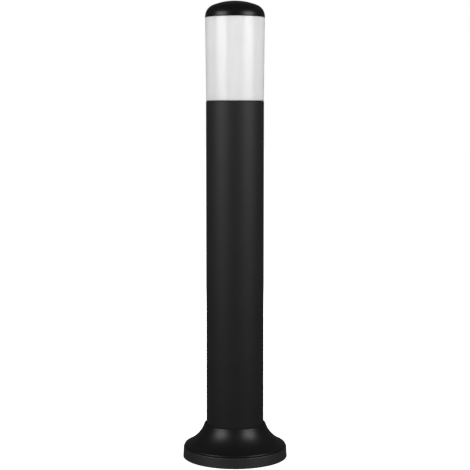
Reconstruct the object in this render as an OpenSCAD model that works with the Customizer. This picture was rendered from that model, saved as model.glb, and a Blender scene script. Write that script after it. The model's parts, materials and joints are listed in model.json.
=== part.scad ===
// Bollard light: a cast foot with a sliding cover, an extruded post, an opal lens
// with a screw-on cap, and a screw lamp in a porcelain holder.
// The origin is the centre of the foot's underside, +Z is up, sizes are millimetres.

/* [Overall] */
// Height from the ground to the top of the cap
total_h = 800; // [660:5:1000]
// Outside diameter of the post tube
tube_d = 101; // [98:1:124]
// Outside diameter of the foot at the ground
foot_d = 184; // [180:1:230]

/* [Post] */
// Wall of the post tube
tube_wall = 2.5; // [2:0.25:3]
// Outside diameter of each screw port inside the tube
port_d = 9.2; // [8.5:0.1:10]
// Bore of each screw port
port_bore_d = 5.2; // [4.8:0.1:5.6]

/* [Foot] */
// Height of the ledge on top of the foot's outer band
ledge_z = 18; // [15:0.1:20]
// Draft of the outer band, as the radius it loses from the ground to the ledge
band_draft = 1; // [0:0.1:2]
// Width of the ledge outside the cover's edge
ledge_w = 1.2; // [1:0.1:4]
// Depth of the rebate that the cover's edge drops into
rebate_h = 2; // [1:0.1:3]
// Thickness of the floor where the ground bolts go through
floor_t = 6; // [4.5:0.5:8]
// Height of the seat that the tube stands on
seat_z = 8; // [7:0.5:9]
// Height of the top of the socket ring round the tube
socket_top = 24; // [20:0.5:28]
// Wall of the socket ring
socket_wall = 3.5; // [2.5:0.1:4.5]
// Diameter of the ground bolt holes
bolt_hole_d = 9; // [7:0.5:10]
// Thickness of the ribs between the socket ring and the rim
rib_t = 4; // [3:0.5:5]
// Diameter of the hole for the cable inlet grommet
inlet_d = 40; // [36:1:46]

/* [Cover] */
// Wall of the sliding cover
cover_wall = 3; // [2.5:0.1:3.5]
// Height of the top of the cover's neck
neck_z = 59.5; // [56:0.5:68]
// Slope of the cover's shoulder above level, in degrees
shoulder_a = 26; // [24:0.5:30]
// Slope of the cover's neck above level, in degrees
neck_a = 71.5; // [68:0.5:78]
// Gap between the cover's neck and the tube
neck_gap = 0.9; // [0.7:0.1:1.2]

/* [Lens] */
// Height of the opal lens
lens_h = 142.8; // [135:0.1:175]
// Wall of the lens
lens_wall = 2.5; // [2:0.1:3]
// Draft of the lens, as the radius it gains from bottom to top
lens_draft = 1.6; // [0.5:0.1:2]
// Thickness of the lens's bottom lip
lip_t = 2.6; // [2:0.1:3.2]

/* [Cap] */
// Height of the cap above the lens
cap_h = 29; // [26:0.5:36]
// Corner radius of the dome
cap_corner_r = 21; // [17:0.5:22]
// Wall of the cap
cap_wall = 2.8; // [2.2:0.1:3.4]
// Length of the threaded skirt inside the lens
skirt_len = 12; // [10:0.5:15]

/* [Gear] */
// Depth of the gear tray below the top of the head casting
gear_depth = 26; // [26:0.5:32]
// Height of the bracket that carries the lampholder
bracket_h = 24; // [24:0.5:28]
// Greatest diameter of the lamp
lamp_d = 60; // [50:1:66]
// Length of the lamp from its contact to its top
lamp_len = 108; // [98:1:115]

/* [Hidden] */
$fn = 96;

clear = 0.3; // gap of a loose fit
eps = 0.5;   // how far a cut runs past a face

// Levels, from the top down and from the ground up
lens_top = total_h - cap_h;
lens_z = lens_top - lens_h;
gasket_t = 1.2;
head_top = lens_z - gasket_t;
flange_t = 4;
tube_top = head_top - flange_t;
deck_z = head_top - gear_depth;
deck_t = 3;
lip_top = lens_z + lip_t;

// Post
tube_r = tube_d / 2;
tube_in_r = tube_r - tube_wall;
port_r = port_d / 2;
port_bore_r = port_bore_d / 2;
port_at = tube_in_r - port_r + 1.2;
port_slot = 2.4;
port_angles = [90, 210, 330];
between_angles = [30, 150, 270];

// Foot
foot_r = foot_d / 2;
band_edge_r = 0.8;
band_top_r = foot_r - band_draft;
rebate_r = band_top_r - ledge_w;
shelf_z = ledge_z - rebate_h;
cover_edge_r = rebate_r - clear;
rim_in_r = cover_edge_r - cover_wall - 2;
socket_in_r = tube_r + clear;
socket_out_r = socket_in_r + socket_wall;
relief_h = 1.5;
bolt_at = round((socket_out_r + rim_in_r) / 2);
bolt_boss_r = min(10, (rim_in_r - socket_out_r) / 2 - 1);
bolt_boss_z = floor_t + 3;
relief_r = bolt_at - bolt_boss_r - 0.5;
inlet_r = inlet_d / 2;

// Cover
bore_r = tube_r + neck_gap;
neck_r = bore_r + 2.8;
shoulder_z = ledge_z + 3.2;
edge_round = 1.5;
shoulder_flat = 0.3;
collar_h = 11;
groove_h = 3;
groove_d = 1.8;
groove_z = neck_z - 8;

// Lens and cap
lens_bot_r = tube_r - 0.4;
lens_top_r = lens_bot_r + lens_draft;
lip_in_r = lens_bot_r - 5.6;
cap_r = lens_top_r + 0.3;
rim_gap = 0.1;
rim_z = lens_top + rim_gap;
lens_in_top_r = lens_top_r - lens_wall;
skirt_r = lens_in_top_r - 1;
skirt_wall = 2.6;
seal_t = 1.2;
seal_out_r = lens_top_r - 0.5;
rim_straight = 2;

// Head
spigot_r = tube_in_r - clear;
spigot_wall = 2.5;
spigot_h = 12;
cup_out_r = port_at - port_r - 0.4;
cup_r = cup_out_r - 2.5;
screw_r = 2.5;
csk_r = 5;
csk_h = 2.5;
plate_boss_r = 3;
plate_screw_at = cup_out_r + 1.4;
plate_boss_top = lip_top - clear;
plate_t = 1.2;
plate_r = lens_bot_r - lens_wall - 0.4;
plate_hole_r = 21.5;
boss_drop = 9;

// Cable gland
gland_hole_r = 10.1;
gland_thread_r = 9.8;
gland_hex_r = 13.9;
gland_low_r = 10.8;
gland_top = deck_z + 6;
gland_hex_z = deck_z - deck_t - 8;
gland_low_z = gland_hex_z - 13;
seal_bore_r = 5;
seal_seat_r = 8.8;
cable_way_r = 6.5;
nut_floor = 5;

// Bracket and holder
strip_t = 1.5;
bracket_w = 18;
bridge_half = 24;
bracket_top = deck_z + bracket_h;
bracket_screw_at = cup_r - 7.1;
holder_z = bracket_top;
holder_base_r = 20.5;
holder_r = 19.5;
holder_base_h = 16;
holder_h = 43;
cavity_r = 14.3;
cavity_floor = 20;
web_t = 2;
well_r = 6.5;
shell_r = 14.1;
shell_wall = 0.5;
contact_plate_z = 7;
contact_plate_t = 1;
contact_r = 3.6;
contact_flange_r = 6;
contact_flange_t = 1.6;
contact_top = 22.5;
contact_flange_top = cavity_floor - web_t - 0.1;
holder_pole_x = 6;
holder_pole_y = 13.5;
holder_screw_at = [13, -6];
clamp_size = [7, 6, 7];
clamp_z = 5;
clamp_screw_z = clamp_z + clamp_size[2] / 2;
clamp_tap_r = 1.6;

// Terminal block
block_y = 24.5;
block_size = [30, 13, 15];
pole_pitch = 9;
pole_z = 6;
insert_r = 2.4;
wire_hole_r = 1.5;
clamp_screw_r = 1.35;
clamp_screw_y = 3.2;
block_seat_z = pole_z + insert_r + 0.2;

// Lamp
lamp_z = holder_z + contact_top;
lamp_r = lamp_d / 2;
tip_h = 1.2;
insulator_h = 3.4;
lamp_shell_r = 13.1;
lamp_shell_top = 23.5;
globe_wall = 1.2;
globe_in_r = lamp_r - globe_wall;
globe_c = lamp_len - lamp_r;
globe_drop = 18; // from the globe's centre down to its mouth
globe_open_r = sqrt(lamp_r * lamp_r - globe_drop * globe_drop);
board_h = globe_c - globe_drop;
board_r = sqrt(globe_in_r * globe_in_r - globe_drop * globe_drop) - 0.1;
board_t = 1.6;
chip_at = board_r - 8.4;
housing_wall = 1.8;
housing_neck_r = 14;

// Wires: radius, and the points that each core runs through above the deck
wire_r = 1.3;
live_path = [[-9, 20, 6], [-9, 17, 6], [-8.4, 14.2, 7.5], [-7, 13.5, 12], [-6, 13.5, 18],
    [-6, 13.5, 24], [-6, 13.5, 33]];
neutral_path = [[0, 20, 6], [0, 17, 6], [0.6, 14.2, 7.5], [3, 13.5, 12], [5.4, 13.5, 18],
    [6, 13.5, 24], [6, 13.5, 33]];
earth_path = [[9, 20, 6], [9, 17, 6], [11, 13.5, 6.5], [16, 9, 8], [18, 0, 9], [18, -12, 8.5],
    [16, -22, 7], [12, -26.4, 5.9], [8, -27, 5.6], [5.6, -27, 5.6]];
earth_at = [0, -27];
earth_boss_h = 4;

// ---- Curves ----

function polar(r, a) = [r * cos(a), r * sin(a)];

// Points on a circle about c, from angle a0 to a1
function arc(c, r, a0, a1, n) = [for (i = [0:n]) c + polar(r, a0 + (a1 - a0) * i / n)];

// A quadratic curve from p to q that leaves p and reaches q along the lines to c
function bezier(p, c, q, n) =
    [for (i = [0:n]) let (t = i / n) (1 - t) * (1 - t) * p + 2 * t * (1 - t) * c + t * t * q];

// Where the line through p along u meets the line through q along v
function meet(p, u, q, v) =
    let (k = ((q[0] - p[0]) * v[1] - (q[1] - p[1]) * v[0]) / (u[0] * v[1] - u[1] * v[0])) p + k * u;

function unit(v) = v / norm(v);

// The line moved by t to its left, point by point
function beside(pts, t) =
    [for (i = [0:len(pts) - 1])
        let (a = pts[max(i - 1, 0)], b = pts[min(i + 1, len(pts) - 1)], u = unit(b - a))
        pts[i] + t * [-u[1], u[0]]];

// A smooth line through every point of a list, with n steps between each two
function smooth(p, n) =
    let (m = len(p) - 1)
    concat([for (i = [0:m - 1], j = [0:n - 1])
        let (a = p[max(i - 1, 0)], b = p[i], c = p[i + 1], d = p[min(i + 2, m)], t = j / n)
        0.5 * (2 * b + (c - a) * t + (2 * a - 5 * b + 4 * c - d) * t * t
            + (3 * b - a - 3 * c + d) * t * t * t)], [p[m]]);

function along(p, i) = unit(p[min(i + 1, len(p) - 1)] - p[max(i - 1, 0)]);

// A vector square to the line at each point, carried along without twist
function carried(p, i, v) =
    let (t = along(p, i), w = unit(v - (v * t) * t))
    i == len(p) - 1 ? [w] : concat([w], carried(p, i + 1, w));

// ---- Shared shapes ----

// A round rod that follows a line
module rod(p, r, sides) {
    up = carried(p, 0, abs(along(p, 0)[2]) > 0.9 ? [1, 0, 0] : [0, 0, 1]);
    points = [for (i = [0:len(p) - 1], k = [0:sides - 1])
        let (t = along(p, i), u = up[i], v = cross(t, u), a = 360 * k / sides)
        p[i] + r * (cos(a) * u + sin(a) * v)];
    last = len(p) - 1;
    faces = concat(
        [[for (k = [0:sides - 1]) k]],
        [[for (k = [sides - 1:-1:0]) last * sides + k]],
        [for (i = [0:last - 1], k = [0:sides - 1]) let (n = (k + 1) % sides)
            [i * sides + k, (i + 1) * sides + k, (i + 1) * sides + n, i * sides + n]]);
    polyhedron(points, faces);
}

module ring(outer_r, inner_r, z0, z1)
    translate([0, 0, z0]) linear_extrude(z1 - z0) difference() {
        circle(outer_r);
        circle(inner_r);
    }

module lathe(outline) rotate_extrude() polygon(outline);

module around(angles, r) for (a = angles) rotate(a) translate([r, 0, 0]) children();

module block(size, at) translate(at) translate([-size[0] / 2, -size[1] / 2, 0]) cube(size);

module hexagon(r, z0, z1) translate([0, 0, z0]) cylinder(r = r, h = z1 - z0, $fn = 6);

// The cross in a screw's head, sunk from z = 0
module cross_recess(r, deep) for (a = [0, 90]) rotate(a)
    block([2 * r, 0.35 * r, deep + eps], [0, 0, -deep]);

// A pan-head screw: its head stands on z = 0 and its shank hangs below
module pan_screw(r, length, head_r, head_h) difference() {
    lathe(concat([[0, -length], [r - 0.4, -length], [r, 0.6 - length], [r, 0], [head_r, 0]],
        arc([head_r - head_h * 0.7, head_h * 0.3], head_h * 0.7, 0, 90, 6), [[0, head_h]]));
    translate([0, 0, head_h]) cross_recess(head_r * 0.55, head_h * 0.5);
}

// A countersunk screw: its head is flush with z = 0
module csk_screw(r, length, head_r, head_h) difference() {
    lathe([[0, -length], [r - 0.8, -length], [r, 1.6 - length], [r, -head_h], [head_r, -0.3],
        [head_r, 0], [0, 0]]);
    cross_recess(head_r * 0.55, head_h * 0.6);
}

// ---- Foot ----

module foot_screw_holes() around(port_angles, port_at) {
    translate([0, 0, relief_h - eps]) cylinder(r = screw_r + clear, h = seat_z);
    translate([0, 0, relief_h - eps]) cylinder(r = csk_r + clear, h = eps + 0.3);
    translate([0, 0, relief_h + 0.3]) cylinder(r1 = csk_r + clear, r2 = screw_r + clear, h = csk_h);
}

module foot_rib() rotate([90, 0, 0]) translate([0, 0, -rib_t / 2]) linear_extrude(rib_t)
    polygon([[socket_out_r - 1, floor_t - 1], [rim_in_r + 1, floor_t - 1],
        [rim_in_r + 1, shelf_z - 1.5], [socket_out_r - 1, socket_top - 4]]);

module foot_plate() color("#1f2022") difference() {
    union() {
        lathe(concat(
            [[inlet_r, relief_h], [relief_r, relief_h], [relief_r, 0], [foot_r, 0]],
            arc([band_top_r - band_edge_r, ledge_z - band_edge_r], band_edge_r, 0, 90, 6),
            [[rebate_r, ledge_z], [rebate_r, shelf_z], [rim_in_r, shelf_z], [rim_in_r, floor_t],
                [socket_out_r, floor_t], [socket_out_r, socket_top - 1], [socket_out_r - 1, socket_top],
                [socket_in_r + 1, socket_top], [socket_in_r, socket_top - 1], [socket_in_r, seat_z],
                [inlet_r, seat_z]]));
        for (a = [0:60:300]) rotate(a) foot_rib();
        around(between_angles, bolt_at) translate([0, 0, floor_t - 1])
            cylinder(r = bolt_boss_r, h = bolt_boss_z - floor_t + 1);
    }
    around(between_angles, bolt_at) translate([0, 0, -eps])
        cylinder(d = bolt_hole_d, h = bolt_boss_z + 2 * eps);
    foot_screw_holes();
}

module inlet_grommet() color("#161616") lathe([[inlet_r - 3, 0.4], [inlet_r + 2, 0.4],
    [inlet_r + 2, relief_h], [inlet_r - 0.05, relief_h], [inlet_r - 0.05, seat_z],
    [inlet_r + 2, seat_z], [inlet_r + 1, seat_z + 1.6], [inlet_r - 3, seat_z + 1.6]]);

module foot_screws() color("silver") around(port_angles, port_at)
    translate([0, 0, relief_h + 0.3]) mirror([0, 0, 1]) csk_screw(screw_r, 25, csk_r, csk_h);

// ---- Post ----

module tube_section() difference() {
    union() {
        difference() {
            circle(tube_r);
            circle(tube_in_r);
        }
        around(port_angles, port_at) circle(port_r);
    }
    around(port_angles, port_at) {
        circle(port_bore_r);
        translate([-port_r - eps, -port_slot / 2]) square([port_r + eps, port_slot]);
    }
}

module post_tube() color("#26282a") translate([0, 0, seat_z]) linear_extrude(tube_top - seat_z)
    tube_section();

// ---- Cover ----

// The outside of the cover: its rounded edge, then the flare up to its neck
shoulder_edge = [cover_edge_r, shoulder_z];
shoulder_way = [-cos(shoulder_a), sin(shoulder_a)];

function cover_edge() =
    bezier(shoulder_edge - [0, edge_round], shoulder_edge, shoulder_edge + edge_round * shoulder_way, 4);

function cover_flare() =
    let (start = shoulder_edge + (edge_round + shoulder_flat) * shoulder_way, top = [neck_r, neck_z - 1])
    bezier(start, meet(start, shoulder_way, top, [-cos(neck_a), sin(neck_a)]), top, 18);

module base_cover() color("#1f2022") {
    flare = cover_flare();
    inside = [for (p = beside(flare, cover_wall))
        if (p[1] < neck_z - collar_h - 1 && p[0] < cover_edge_r - cover_wall && p[1] > shelf_z + 1) p];
    lathe(concat(
        [[cover_edge_r, shelf_z]], cover_edge(), flare,
        arc([neck_r - 1, neck_z - 1], 1, 20, 90, 4), [[bore_r + 0.4, neck_z], [bore_r, neck_z - 0.4]],
        [[bore_r, groove_z + groove_h], [bore_r + groove_d, groove_z + groove_h],
            [bore_r + groove_d, groove_z], [bore_r, groove_z], [bore_r, neck_z - collar_h],
            [inside[len(inside) - 1][0], neck_z - collar_h]],
        [for (i = [len(inside) - 1:-1:0]) inside[i]],
        [[cover_edge_r - cover_wall, shelf_z + 2], [cover_edge_r - cover_wall, shelf_z]]));
}

module neck_seal() color("#141414")
    ring(bore_r + groove_d - 0.05, tube_r + clear, groove_z, groove_z + groove_h);

// ---- Head ----

module head_screw_holes() around(port_angles, port_at) {
    translate([0, 0, tube_top - eps]) cylinder(r = screw_r + clear, h = flange_t + 2 * eps);
    translate([0, 0, head_top - csk_h]) cylinder(r1 = screw_r + clear, r2 = csk_r + clear, h = csk_h);
    translate([0, 0, head_top]) cylinder(r = csk_r + clear, h = eps);
}

module head_casting() color("#2b2d2f") difference() {
    union() {
        lathe([[gland_hole_r, deck_z - deck_t], [cup_out_r, deck_z - deck_t], [cup_out_r, tube_top],
            [tube_r, tube_top], [tube_r, head_top - 0.5], [tube_r - 0.5, head_top], [cup_r, head_top],
            [cup_r, deck_z], [gland_hole_r, deck_z]]);
        difference() {
            ring(spigot_r, spigot_r - spigot_wall, tube_top - spigot_h, tube_top + 1);
            around(port_angles, port_at) translate([0, 0, tube_top - spigot_h - eps])
                cylinder(r = port_r + 0.8, h = spigot_h + eps);
        }
        around(between_angles, plate_screw_at) translate([0, 0, tube_top - spigot_h])
            cylinder(r = plate_boss_r, h = plate_boss_top - tube_top + spigot_h);
        for (s = [-1, 1]) translate([s * bracket_screw_at, 0, deck_z - boss_drop])
            cylinder(r = 4, h = boss_drop - 1);
        for (s = [-1, 1]) translate([s * pole_pitch / 2, block_y, deck_z - boss_drop])
            cylinder(r = 3, h = boss_drop - 1);
        translate([earth_at[0], earth_at[1], deck_z - deck_t - 4])
            cylinder(r = 4.5, h = deck_t + 4 + earth_boss_h);
    }
    head_screw_holes();
    around(between_angles, plate_screw_at) translate([0, 0, plate_boss_top - 12]) cylinder(r = 1.5, h = 13);
    for (s = [-1, 1]) translate([s * bracket_screw_at, 0, deck_z - boss_drop + 1])
        cylinder(r = 2, h = boss_drop);
    for (s = [-1, 1]) translate([s * pole_pitch / 2, block_y, deck_z - boss_drop + 1])
        cylinder(r = 1.5, h = boss_drop);
    translate([earth_at[0], earth_at[1], deck_z - 4]) cylinder(r = 2, h = 9);
}

module head_screws() color("silver") around(port_angles, port_at) translate([0, 0, head_top])
    csk_screw(screw_r, 25, csk_r, csk_h);

// ---- Cable gland ----

module gland_body() color("#3a3c3f") {
    difference() {
        union() {
            ring(gland_thread_r, cable_way_r, gland_hex_z, gland_top);
            hexagon(gland_hex_r, gland_hex_z, deck_z - deck_t);
            translate([0, 0, gland_low_z]) cylinder(r = gland_low_r, h = gland_hex_z - gland_low_z);
        }
        translate([0, 0, gland_low_z - eps]) cylinder(r = seal_seat_r, h = gland_hex_z - gland_low_z + 2);
        translate([0, 0, gland_low_z]) cylinder(r = cable_way_r, h = gland_top - gland_low_z + eps);
    }
}

module gland_locknut() color("#3a3c3f") difference() {
    hexagon(15, deck_z, deck_z + 5);
    translate([0, 0, deck_z - eps]) cylinder(r = gland_thread_r + 0.1, h = 5 + 2 * eps);
}

module gland_seal() color("#1a1a1a") ring(seal_seat_r - 0.1, seal_bore_r, gland_low_z, gland_hex_z + 1.4);

module gland_nut() color("#3a3c3f") difference() {
    union() {
        hexagon(14.8, gland_low_z - nut_floor + 3, gland_hex_z - 2);
        translate([0, 0, gland_low_z - nut_floor]) cylinder(r1 = 10, r2 = 12, h = 3);
    }
    translate([0, 0, gland_low_z]) cylinder(r = gland_low_r + 0.2, h = gland_hex_z - gland_low_z);
    translate([0, 0, gland_low_z - nut_floor - eps]) cylinder(r = cable_way_r, h = nut_floor + 2 * eps);
}

// ---- Gear ----

module gear_bracket() color("silver") difference() {
    foot_len = cup_r - 2.6 - bridge_half;
    union() {
        block([2 * bridge_half, bracket_w, strip_t], [0, 0, bracket_top - strip_t]);
        for (s = [-1, 1]) {
            block([strip_t, bracket_w, bracket_h], [s * (bridge_half - strip_t / 2), 0, deck_z]);
            block([foot_len + strip_t, bracket_w, strip_t],
                [s * (bridge_half + (foot_len - strip_t) / 2), 0, deck_z]);
        }
    }
    for (s = [-1, 1]) {
        translate([s * bracket_screw_at, 0, deck_z - eps]) cylinder(r = 2.3, h = strip_t + 2 * eps);
        translate([s * holder_screw_at[0], holder_screw_at[1], bracket_top - strip_t - eps])
            cylinder(r = 2, h = strip_t + 2 * eps);
    }
}

module bracket_screws() color("silver") for (s = [-1, 1])
    translate([s * bracket_screw_at, 0, deck_z + strip_t]) pan_screw(1.9, 9, 3.6, 2.6);

module pole_places() for (i = [-1:1]) translate([i * pole_pitch, block_y, deck_z]) children();

module terminal_block() color("ivory") difference() {
    union() {
        block([block_size[0], block_size[1], 4], [0, block_y, deck_z]);
        pole_places() block([pole_pitch - 1, block_size[1], block_size[2]], [0, 0, 0]);
        block([2 * pole_pitch, block_size[1], 10], [0, block_y, deck_z]);
    }
    pole_places() {
        translate([0, 0, pole_z]) rotate([90, 0, 0]) translate([0, 0, -block_size[1] / 2 + 1])
            cylinder(r = insert_r + 0.1, h = block_size[1] - 2);
        translate([0, 0, pole_z]) rotate([90, 0, 0]) translate([0, 0, -block_size[1] / 2 - eps])
            cylinder(r = 2, h = block_size[1] + 2 * eps);
        for (s = [-1, 1]) translate([0, s * clamp_screw_y, pole_z]) cylinder(r = 1.9, h = block_size[2]);
    }
    for (s = [-1, 1]) translate([s * pole_pitch / 2, block_y, deck_z - eps]) {
        cylinder(r = 1.7, h = block_size[2] + 2 * eps);
        translate([0, 0, block_seat_z]) cylinder(r = 2.9, h = block_size[2]);
    }
}

module terminal_clamps() color("gold") pole_places() difference() {
    translate([0, 0, pole_z]) rotate([90, 0, 0]) translate([0, 0, -block_size[1] / 2 + 1])
        cylinder(r = insert_r, h = block_size[1] - 2);
    translate([0, 0, pole_z]) rotate([90, 0, 0]) translate([0, 0, -block_size[1] / 2])
        cylinder(r = wire_hole_r, h = block_size[1]);
    for (s = [-1, 1]) translate([0, s * clamp_screw_y, pole_z]) cylinder(r = clamp_screw_r + 0.1, h = 5);
}

module terminal_screws() color("silver") pole_places() for (s = [-1, 1])
    translate([0, s * clamp_screw_y, pole_z + wire_r + 0.15]) difference() {
        cylinder(r = clamp_screw_r, h = 4.4);
        block([3, 0.6, 2], [0, 0, 3.4]);
    }

module block_screws() color("silver") for (s = [-1, 1])
    translate([s * pole_pitch / 2, block_y, deck_z + block_seat_z]) pan_screw(1.4, block_seat_z + 7, 2.7, 2);

module earth_lug() color("#c8764a") translate([earth_at[0], earth_at[1], deck_z + earth_boss_h]) {
    ring(4.4, 2.2, 0, 0.8);
    difference() {
        union() {
            block([3, 3.6, 0.8], [5, 0, 0]);
            translate([4.7, 0, 1.6]) rotate([0, 90, 0]) cylinder(r = 2.1, h = 5);
        }
        translate([4.9, 0, 1.6]) rotate([0, 90, 0]) cylinder(r = wire_r + 0.1, h = 6);
    }
}

module earth_screw() color("silver") translate([earth_at[0], earth_at[1], deck_z + earth_boss_h + 0.8])
    pan_screw(1.9, 8, 3.8, 2.6);

module wire(path, name) color(name) translate([0, 0, deck_z]) rod(smooth(path, 4), wire_r, 10);

module wire_live() wire(live_path, "saddlebrown");
module wire_neutral() wire(neutral_path, "royalblue");
module wire_earth() wire(earth_path, "olivedrab");

// ---- Lampholder ----

// Where the holder's live (-1) and neutral (1) clamps stand, from the bottom up
module holder_poles() for (s = [-1, 1])
    translate([s * holder_pole_x, holder_pole_y, holder_z]) children();

// The strip under the live contact, as seen from above
module live_strip_shape(grow) {
    circle(5.8 + grow);
    rotate(atan2(holder_pole_y, -holder_pole_x)) translate([0, -2 - grow])
        square([norm([holder_pole_x, holder_pole_y]), 4 + 2 * grow]);
}

module lampholder_body() color("white") difference() {
    translate([0, 0, holder_z]) lathe([[0, 0], [holder_base_r - 0.8, 0], [holder_base_r, 0.8],
        [holder_base_r, holder_base_h - 0.6], [holder_r, holder_base_h + 0.8], [holder_r, holder_h - 1],
        [holder_r - 1, holder_h], [cavity_r + 0.8, holder_h], [cavity_r, holder_h - 1],
        [cavity_r, cavity_floor], [contact_r + 0.6, cavity_floor], [contact_r + 0.6, cavity_floor - web_t],
        [well_r, cavity_floor - web_t], [well_r, contact_plate_z], [0, contact_plate_z]]);
    translate([0, 0, holder_z - eps]) linear_extrude(contact_plate_z + contact_plate_t + eps)
        live_strip_shape(0.3);
    holder_poles() {
        block([clamp_size[0] + 0.4, clamp_size[1] + 0.4, clamp_z + clamp_size[2] + clear + eps],
            [0, 0, -eps]);
        translate([0, 0, clamp_screw_z]) rotate([-90, 0, 0]) cylinder(r = 2.9, h = 12);
    }
    block([4.4, 1.4, cavity_floor - clamp_size[2] - 4], [holder_pole_x, 11.5, holder_z + clamp_z + 6.5]);
    for (s = [-1, 1]) translate([s * holder_screw_at[0], holder_screw_at[1], holder_z - eps])
        cylinder(r = 1.9, h = 10 + eps);
}

module lampholder_shell() color("lightgray") translate([0, 0, holder_z]) {
    ring(shell_r, 9, cavity_floor, cavity_floor + 0.6);
    ring(shell_r, shell_r - shell_wall, cavity_floor + 0.6, holder_h - 1.2);
}

// The wire's hole up through a clamp, and the screw's hole in from its side
module clamp_bores() {
    translate([0, 0, clamp_z - eps]) cylinder(r = wire_hole_r, h = clamp_size[2] + 2 * eps);
    translate([0, 0, clamp_screw_z]) rotate([-90, 0, 0]) cylinder(r = clamp_tap_r, h = 4);
}

module clamp_body() difference() {
    block(clamp_size, [0, 0, clamp_z]);
    clamp_bores();
}

module lampholder_contacts() color("gold") {
    difference() {
        union() {
            translate([-holder_pole_x, holder_pole_y, holder_z]) clamp_body();
            translate([0, 0, holder_z + contact_plate_z]) linear_extrude(contact_plate_t) live_strip_shape(0);
        }
        translate([-holder_pole_x, holder_pole_y, holder_z]) clamp_bores();
    }
    translate([holder_pole_x, holder_pole_y, holder_z]) clamp_body();
    block([4, 1, cavity_floor - clamp_z - clamp_size[2]], [holder_pole_x, 11.5,
        holder_z + clamp_z + clamp_size[2]]);
}

module holder_clamp_screws() color("silver") holder_poles() translate([0, 3.4, clamp_screw_z])
    rotate([-90, 0, 0]) pan_screw(clamp_tap_r - 0.1, 1.9, 2.6, 1.6);

module lampholder_screws() color("silver") for (s = [-1, 1])
    translate([s * holder_screw_at[0], holder_screw_at[1], bracket_top - strip_t])
        mirror([0, 0, 1]) pan_screw(1.8, 9, 3.2, 2.2);

module centre_contact() color("gold") translate([0, 0, holder_z]) lathe(concat(
    [[0, contact_flange_top - contact_flange_t], [contact_flange_r, contact_flange_top - contact_flange_t],
        [contact_flange_r, contact_flange_top], [contact_r, contact_flange_top]],
    arc([contact_r - 1, contact_top - 1], 1, 0, 90, 5), [[0, contact_top]]));

// A coil between the live strip and the contact's flange
module contact_spring() color("silver") {
    coil_r = 4.6;
    coil_wire_r = 0.4;
    turns = 4;
    steps = 14;
    z0 = holder_z + contact_plate_z + contact_plate_t + coil_wire_r;
    z1 = holder_z + contact_flange_top - contact_flange_t - coil_wire_r;
    rod([for (i = [0:turns * steps]) let (a = 360 * i / steps)
        [coil_r * cos(a), coil_r * sin(a), z0 + (z1 - z0) * i / (turns * steps)]], coil_wire_r, 6);
}

// ---- Lens ----

module diffuser_gasket() color("#1a1a1a") ring(lens_bot_r - 0.5, lip_in_r, head_top, lens_z);

module diffuser() color("white", 0.9) lathe([[lip_in_r, lens_z], [lens_bot_r - 0.4, lens_z],
    [lens_bot_r, lens_z + 0.4], [lens_top_r, lens_top - 0.3], [lens_top_r - 0.3, lens_top],
    [lens_in_top_r, lens_top], [lens_bot_r - lens_wall, lip_top], [lip_in_r, lip_top]]);

module reflector_plate() color("white") difference() {
    ring(plate_r, plate_hole_r, lip_top, lip_top + plate_t);
    around(between_angles, plate_screw_at) translate([0, 0, lip_top - eps])
        cylinder(r = 1.8, h = plate_t + 2 * eps);
}

module reflector_screws() color("silver") around(between_angles, plate_screw_at)
    translate([0, 0, lip_top + plate_t]) pan_screw(1.4, 10, 2.9, 2);

// ---- Cap ----

// The dome is two arcs that run into each other: a corner and a crown centred on the axis.
module cap() color("#141516") {
    side_r = cap_r - 0.2;
    corner = [side_r - cap_corner_r, rim_z + rim_straight];
    rise = total_h - corner[1];
    crown_r = (corner[0] * corner[0] + rise * rise - cap_corner_r * cap_corner_r)
        / (2 * (rise - cap_corner_r));
    crown = [0, total_h - crown_r];
    join_a = atan2(corner[1] - crown[1], corner[0]);
    lathe(concat(
        [[seal_out_r + 0.1, rim_z], [cap_r - 0.2, rim_z], [cap_r, rim_z + 0.3]],
        arc(corner, cap_corner_r, 0, join_a, 16), arc(crown, crown_r, join_a, 90, 12),
        arc(crown, crown_r - cap_wall, 90, join_a, 12),
        arc(corner, cap_corner_r - cap_wall, join_a, 6, 14),
        [[skirt_r - skirt_wall, rim_z + rim_straight + 1.4], [skirt_r - skirt_wall, rim_z - skirt_len],
            [skirt_r - 0.6, rim_z - skirt_len], [skirt_r, rim_z - skirt_len + 0.8],
            [skirt_r, lens_top + seal_t + 0.05], [seal_out_r + 0.1, lens_top + seal_t + 0.05]]));
}

module cap_seal() color("#1a1a1a") ring(seal_out_r, skirt_r + 0.2, lens_top, lens_top + seal_t);

// ---- Lamp ----

module lamp_tip() color("silver") translate([0, 0, lamp_z]) lathe([[0, 0], [3.4, 0], [4.6, tip_h * 0.5],
    [4.6, tip_h], [0, tip_h]]);

module lamp_insulator() color("#151515") translate([0, 0, lamp_z + tip_h])
    cylinder(r1 = 5.4, r2 = 11.4, h = insulator_h);

module lamp_shell() color("lightgray") translate([0, 0, lamp_z + tip_h + insulator_h]) lathe([[9, 0],
    [lamp_shell_r - 1, 0], [lamp_shell_r, 1], [lamp_shell_r, lamp_shell_top - tip_h - insulator_h],
    [lamp_shell_r - shell_wall, lamp_shell_top - tip_h - insulator_h], [lamp_shell_r - shell_wall, 1.2],
    [9, shell_wall]]);

module lamp_housing() color("white") translate([0, 0, lamp_z]) {
    flare = bezier([housing_neck_r + 0.4, lamp_shell_top + 1.5], [housing_neck_r + 1, lamp_shell_top + 18.5],
        [globe_open_r + 0.6, board_h], 14);
    sleeve_r = lamp_shell_r - shell_wall - 0.1;
    lathe(concat([[sleeve_r - 1.4, 14], [sleeve_r, 14], [sleeve_r, lamp_shell_top],
        [housing_neck_r, lamp_shell_top]], flare, [[board_r - 0.2, board_h]],
        [for (i = [len(flare) - 2:-1:1]) flare[i] - [housing_wall, 0]],
        [[sleeve_r - 1.4, lamp_shell_top + 1]]));
}

module led_board() color("white") translate([0, 0, lamp_z + board_h])
    cylinder(r = board_r, h = board_t);

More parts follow.
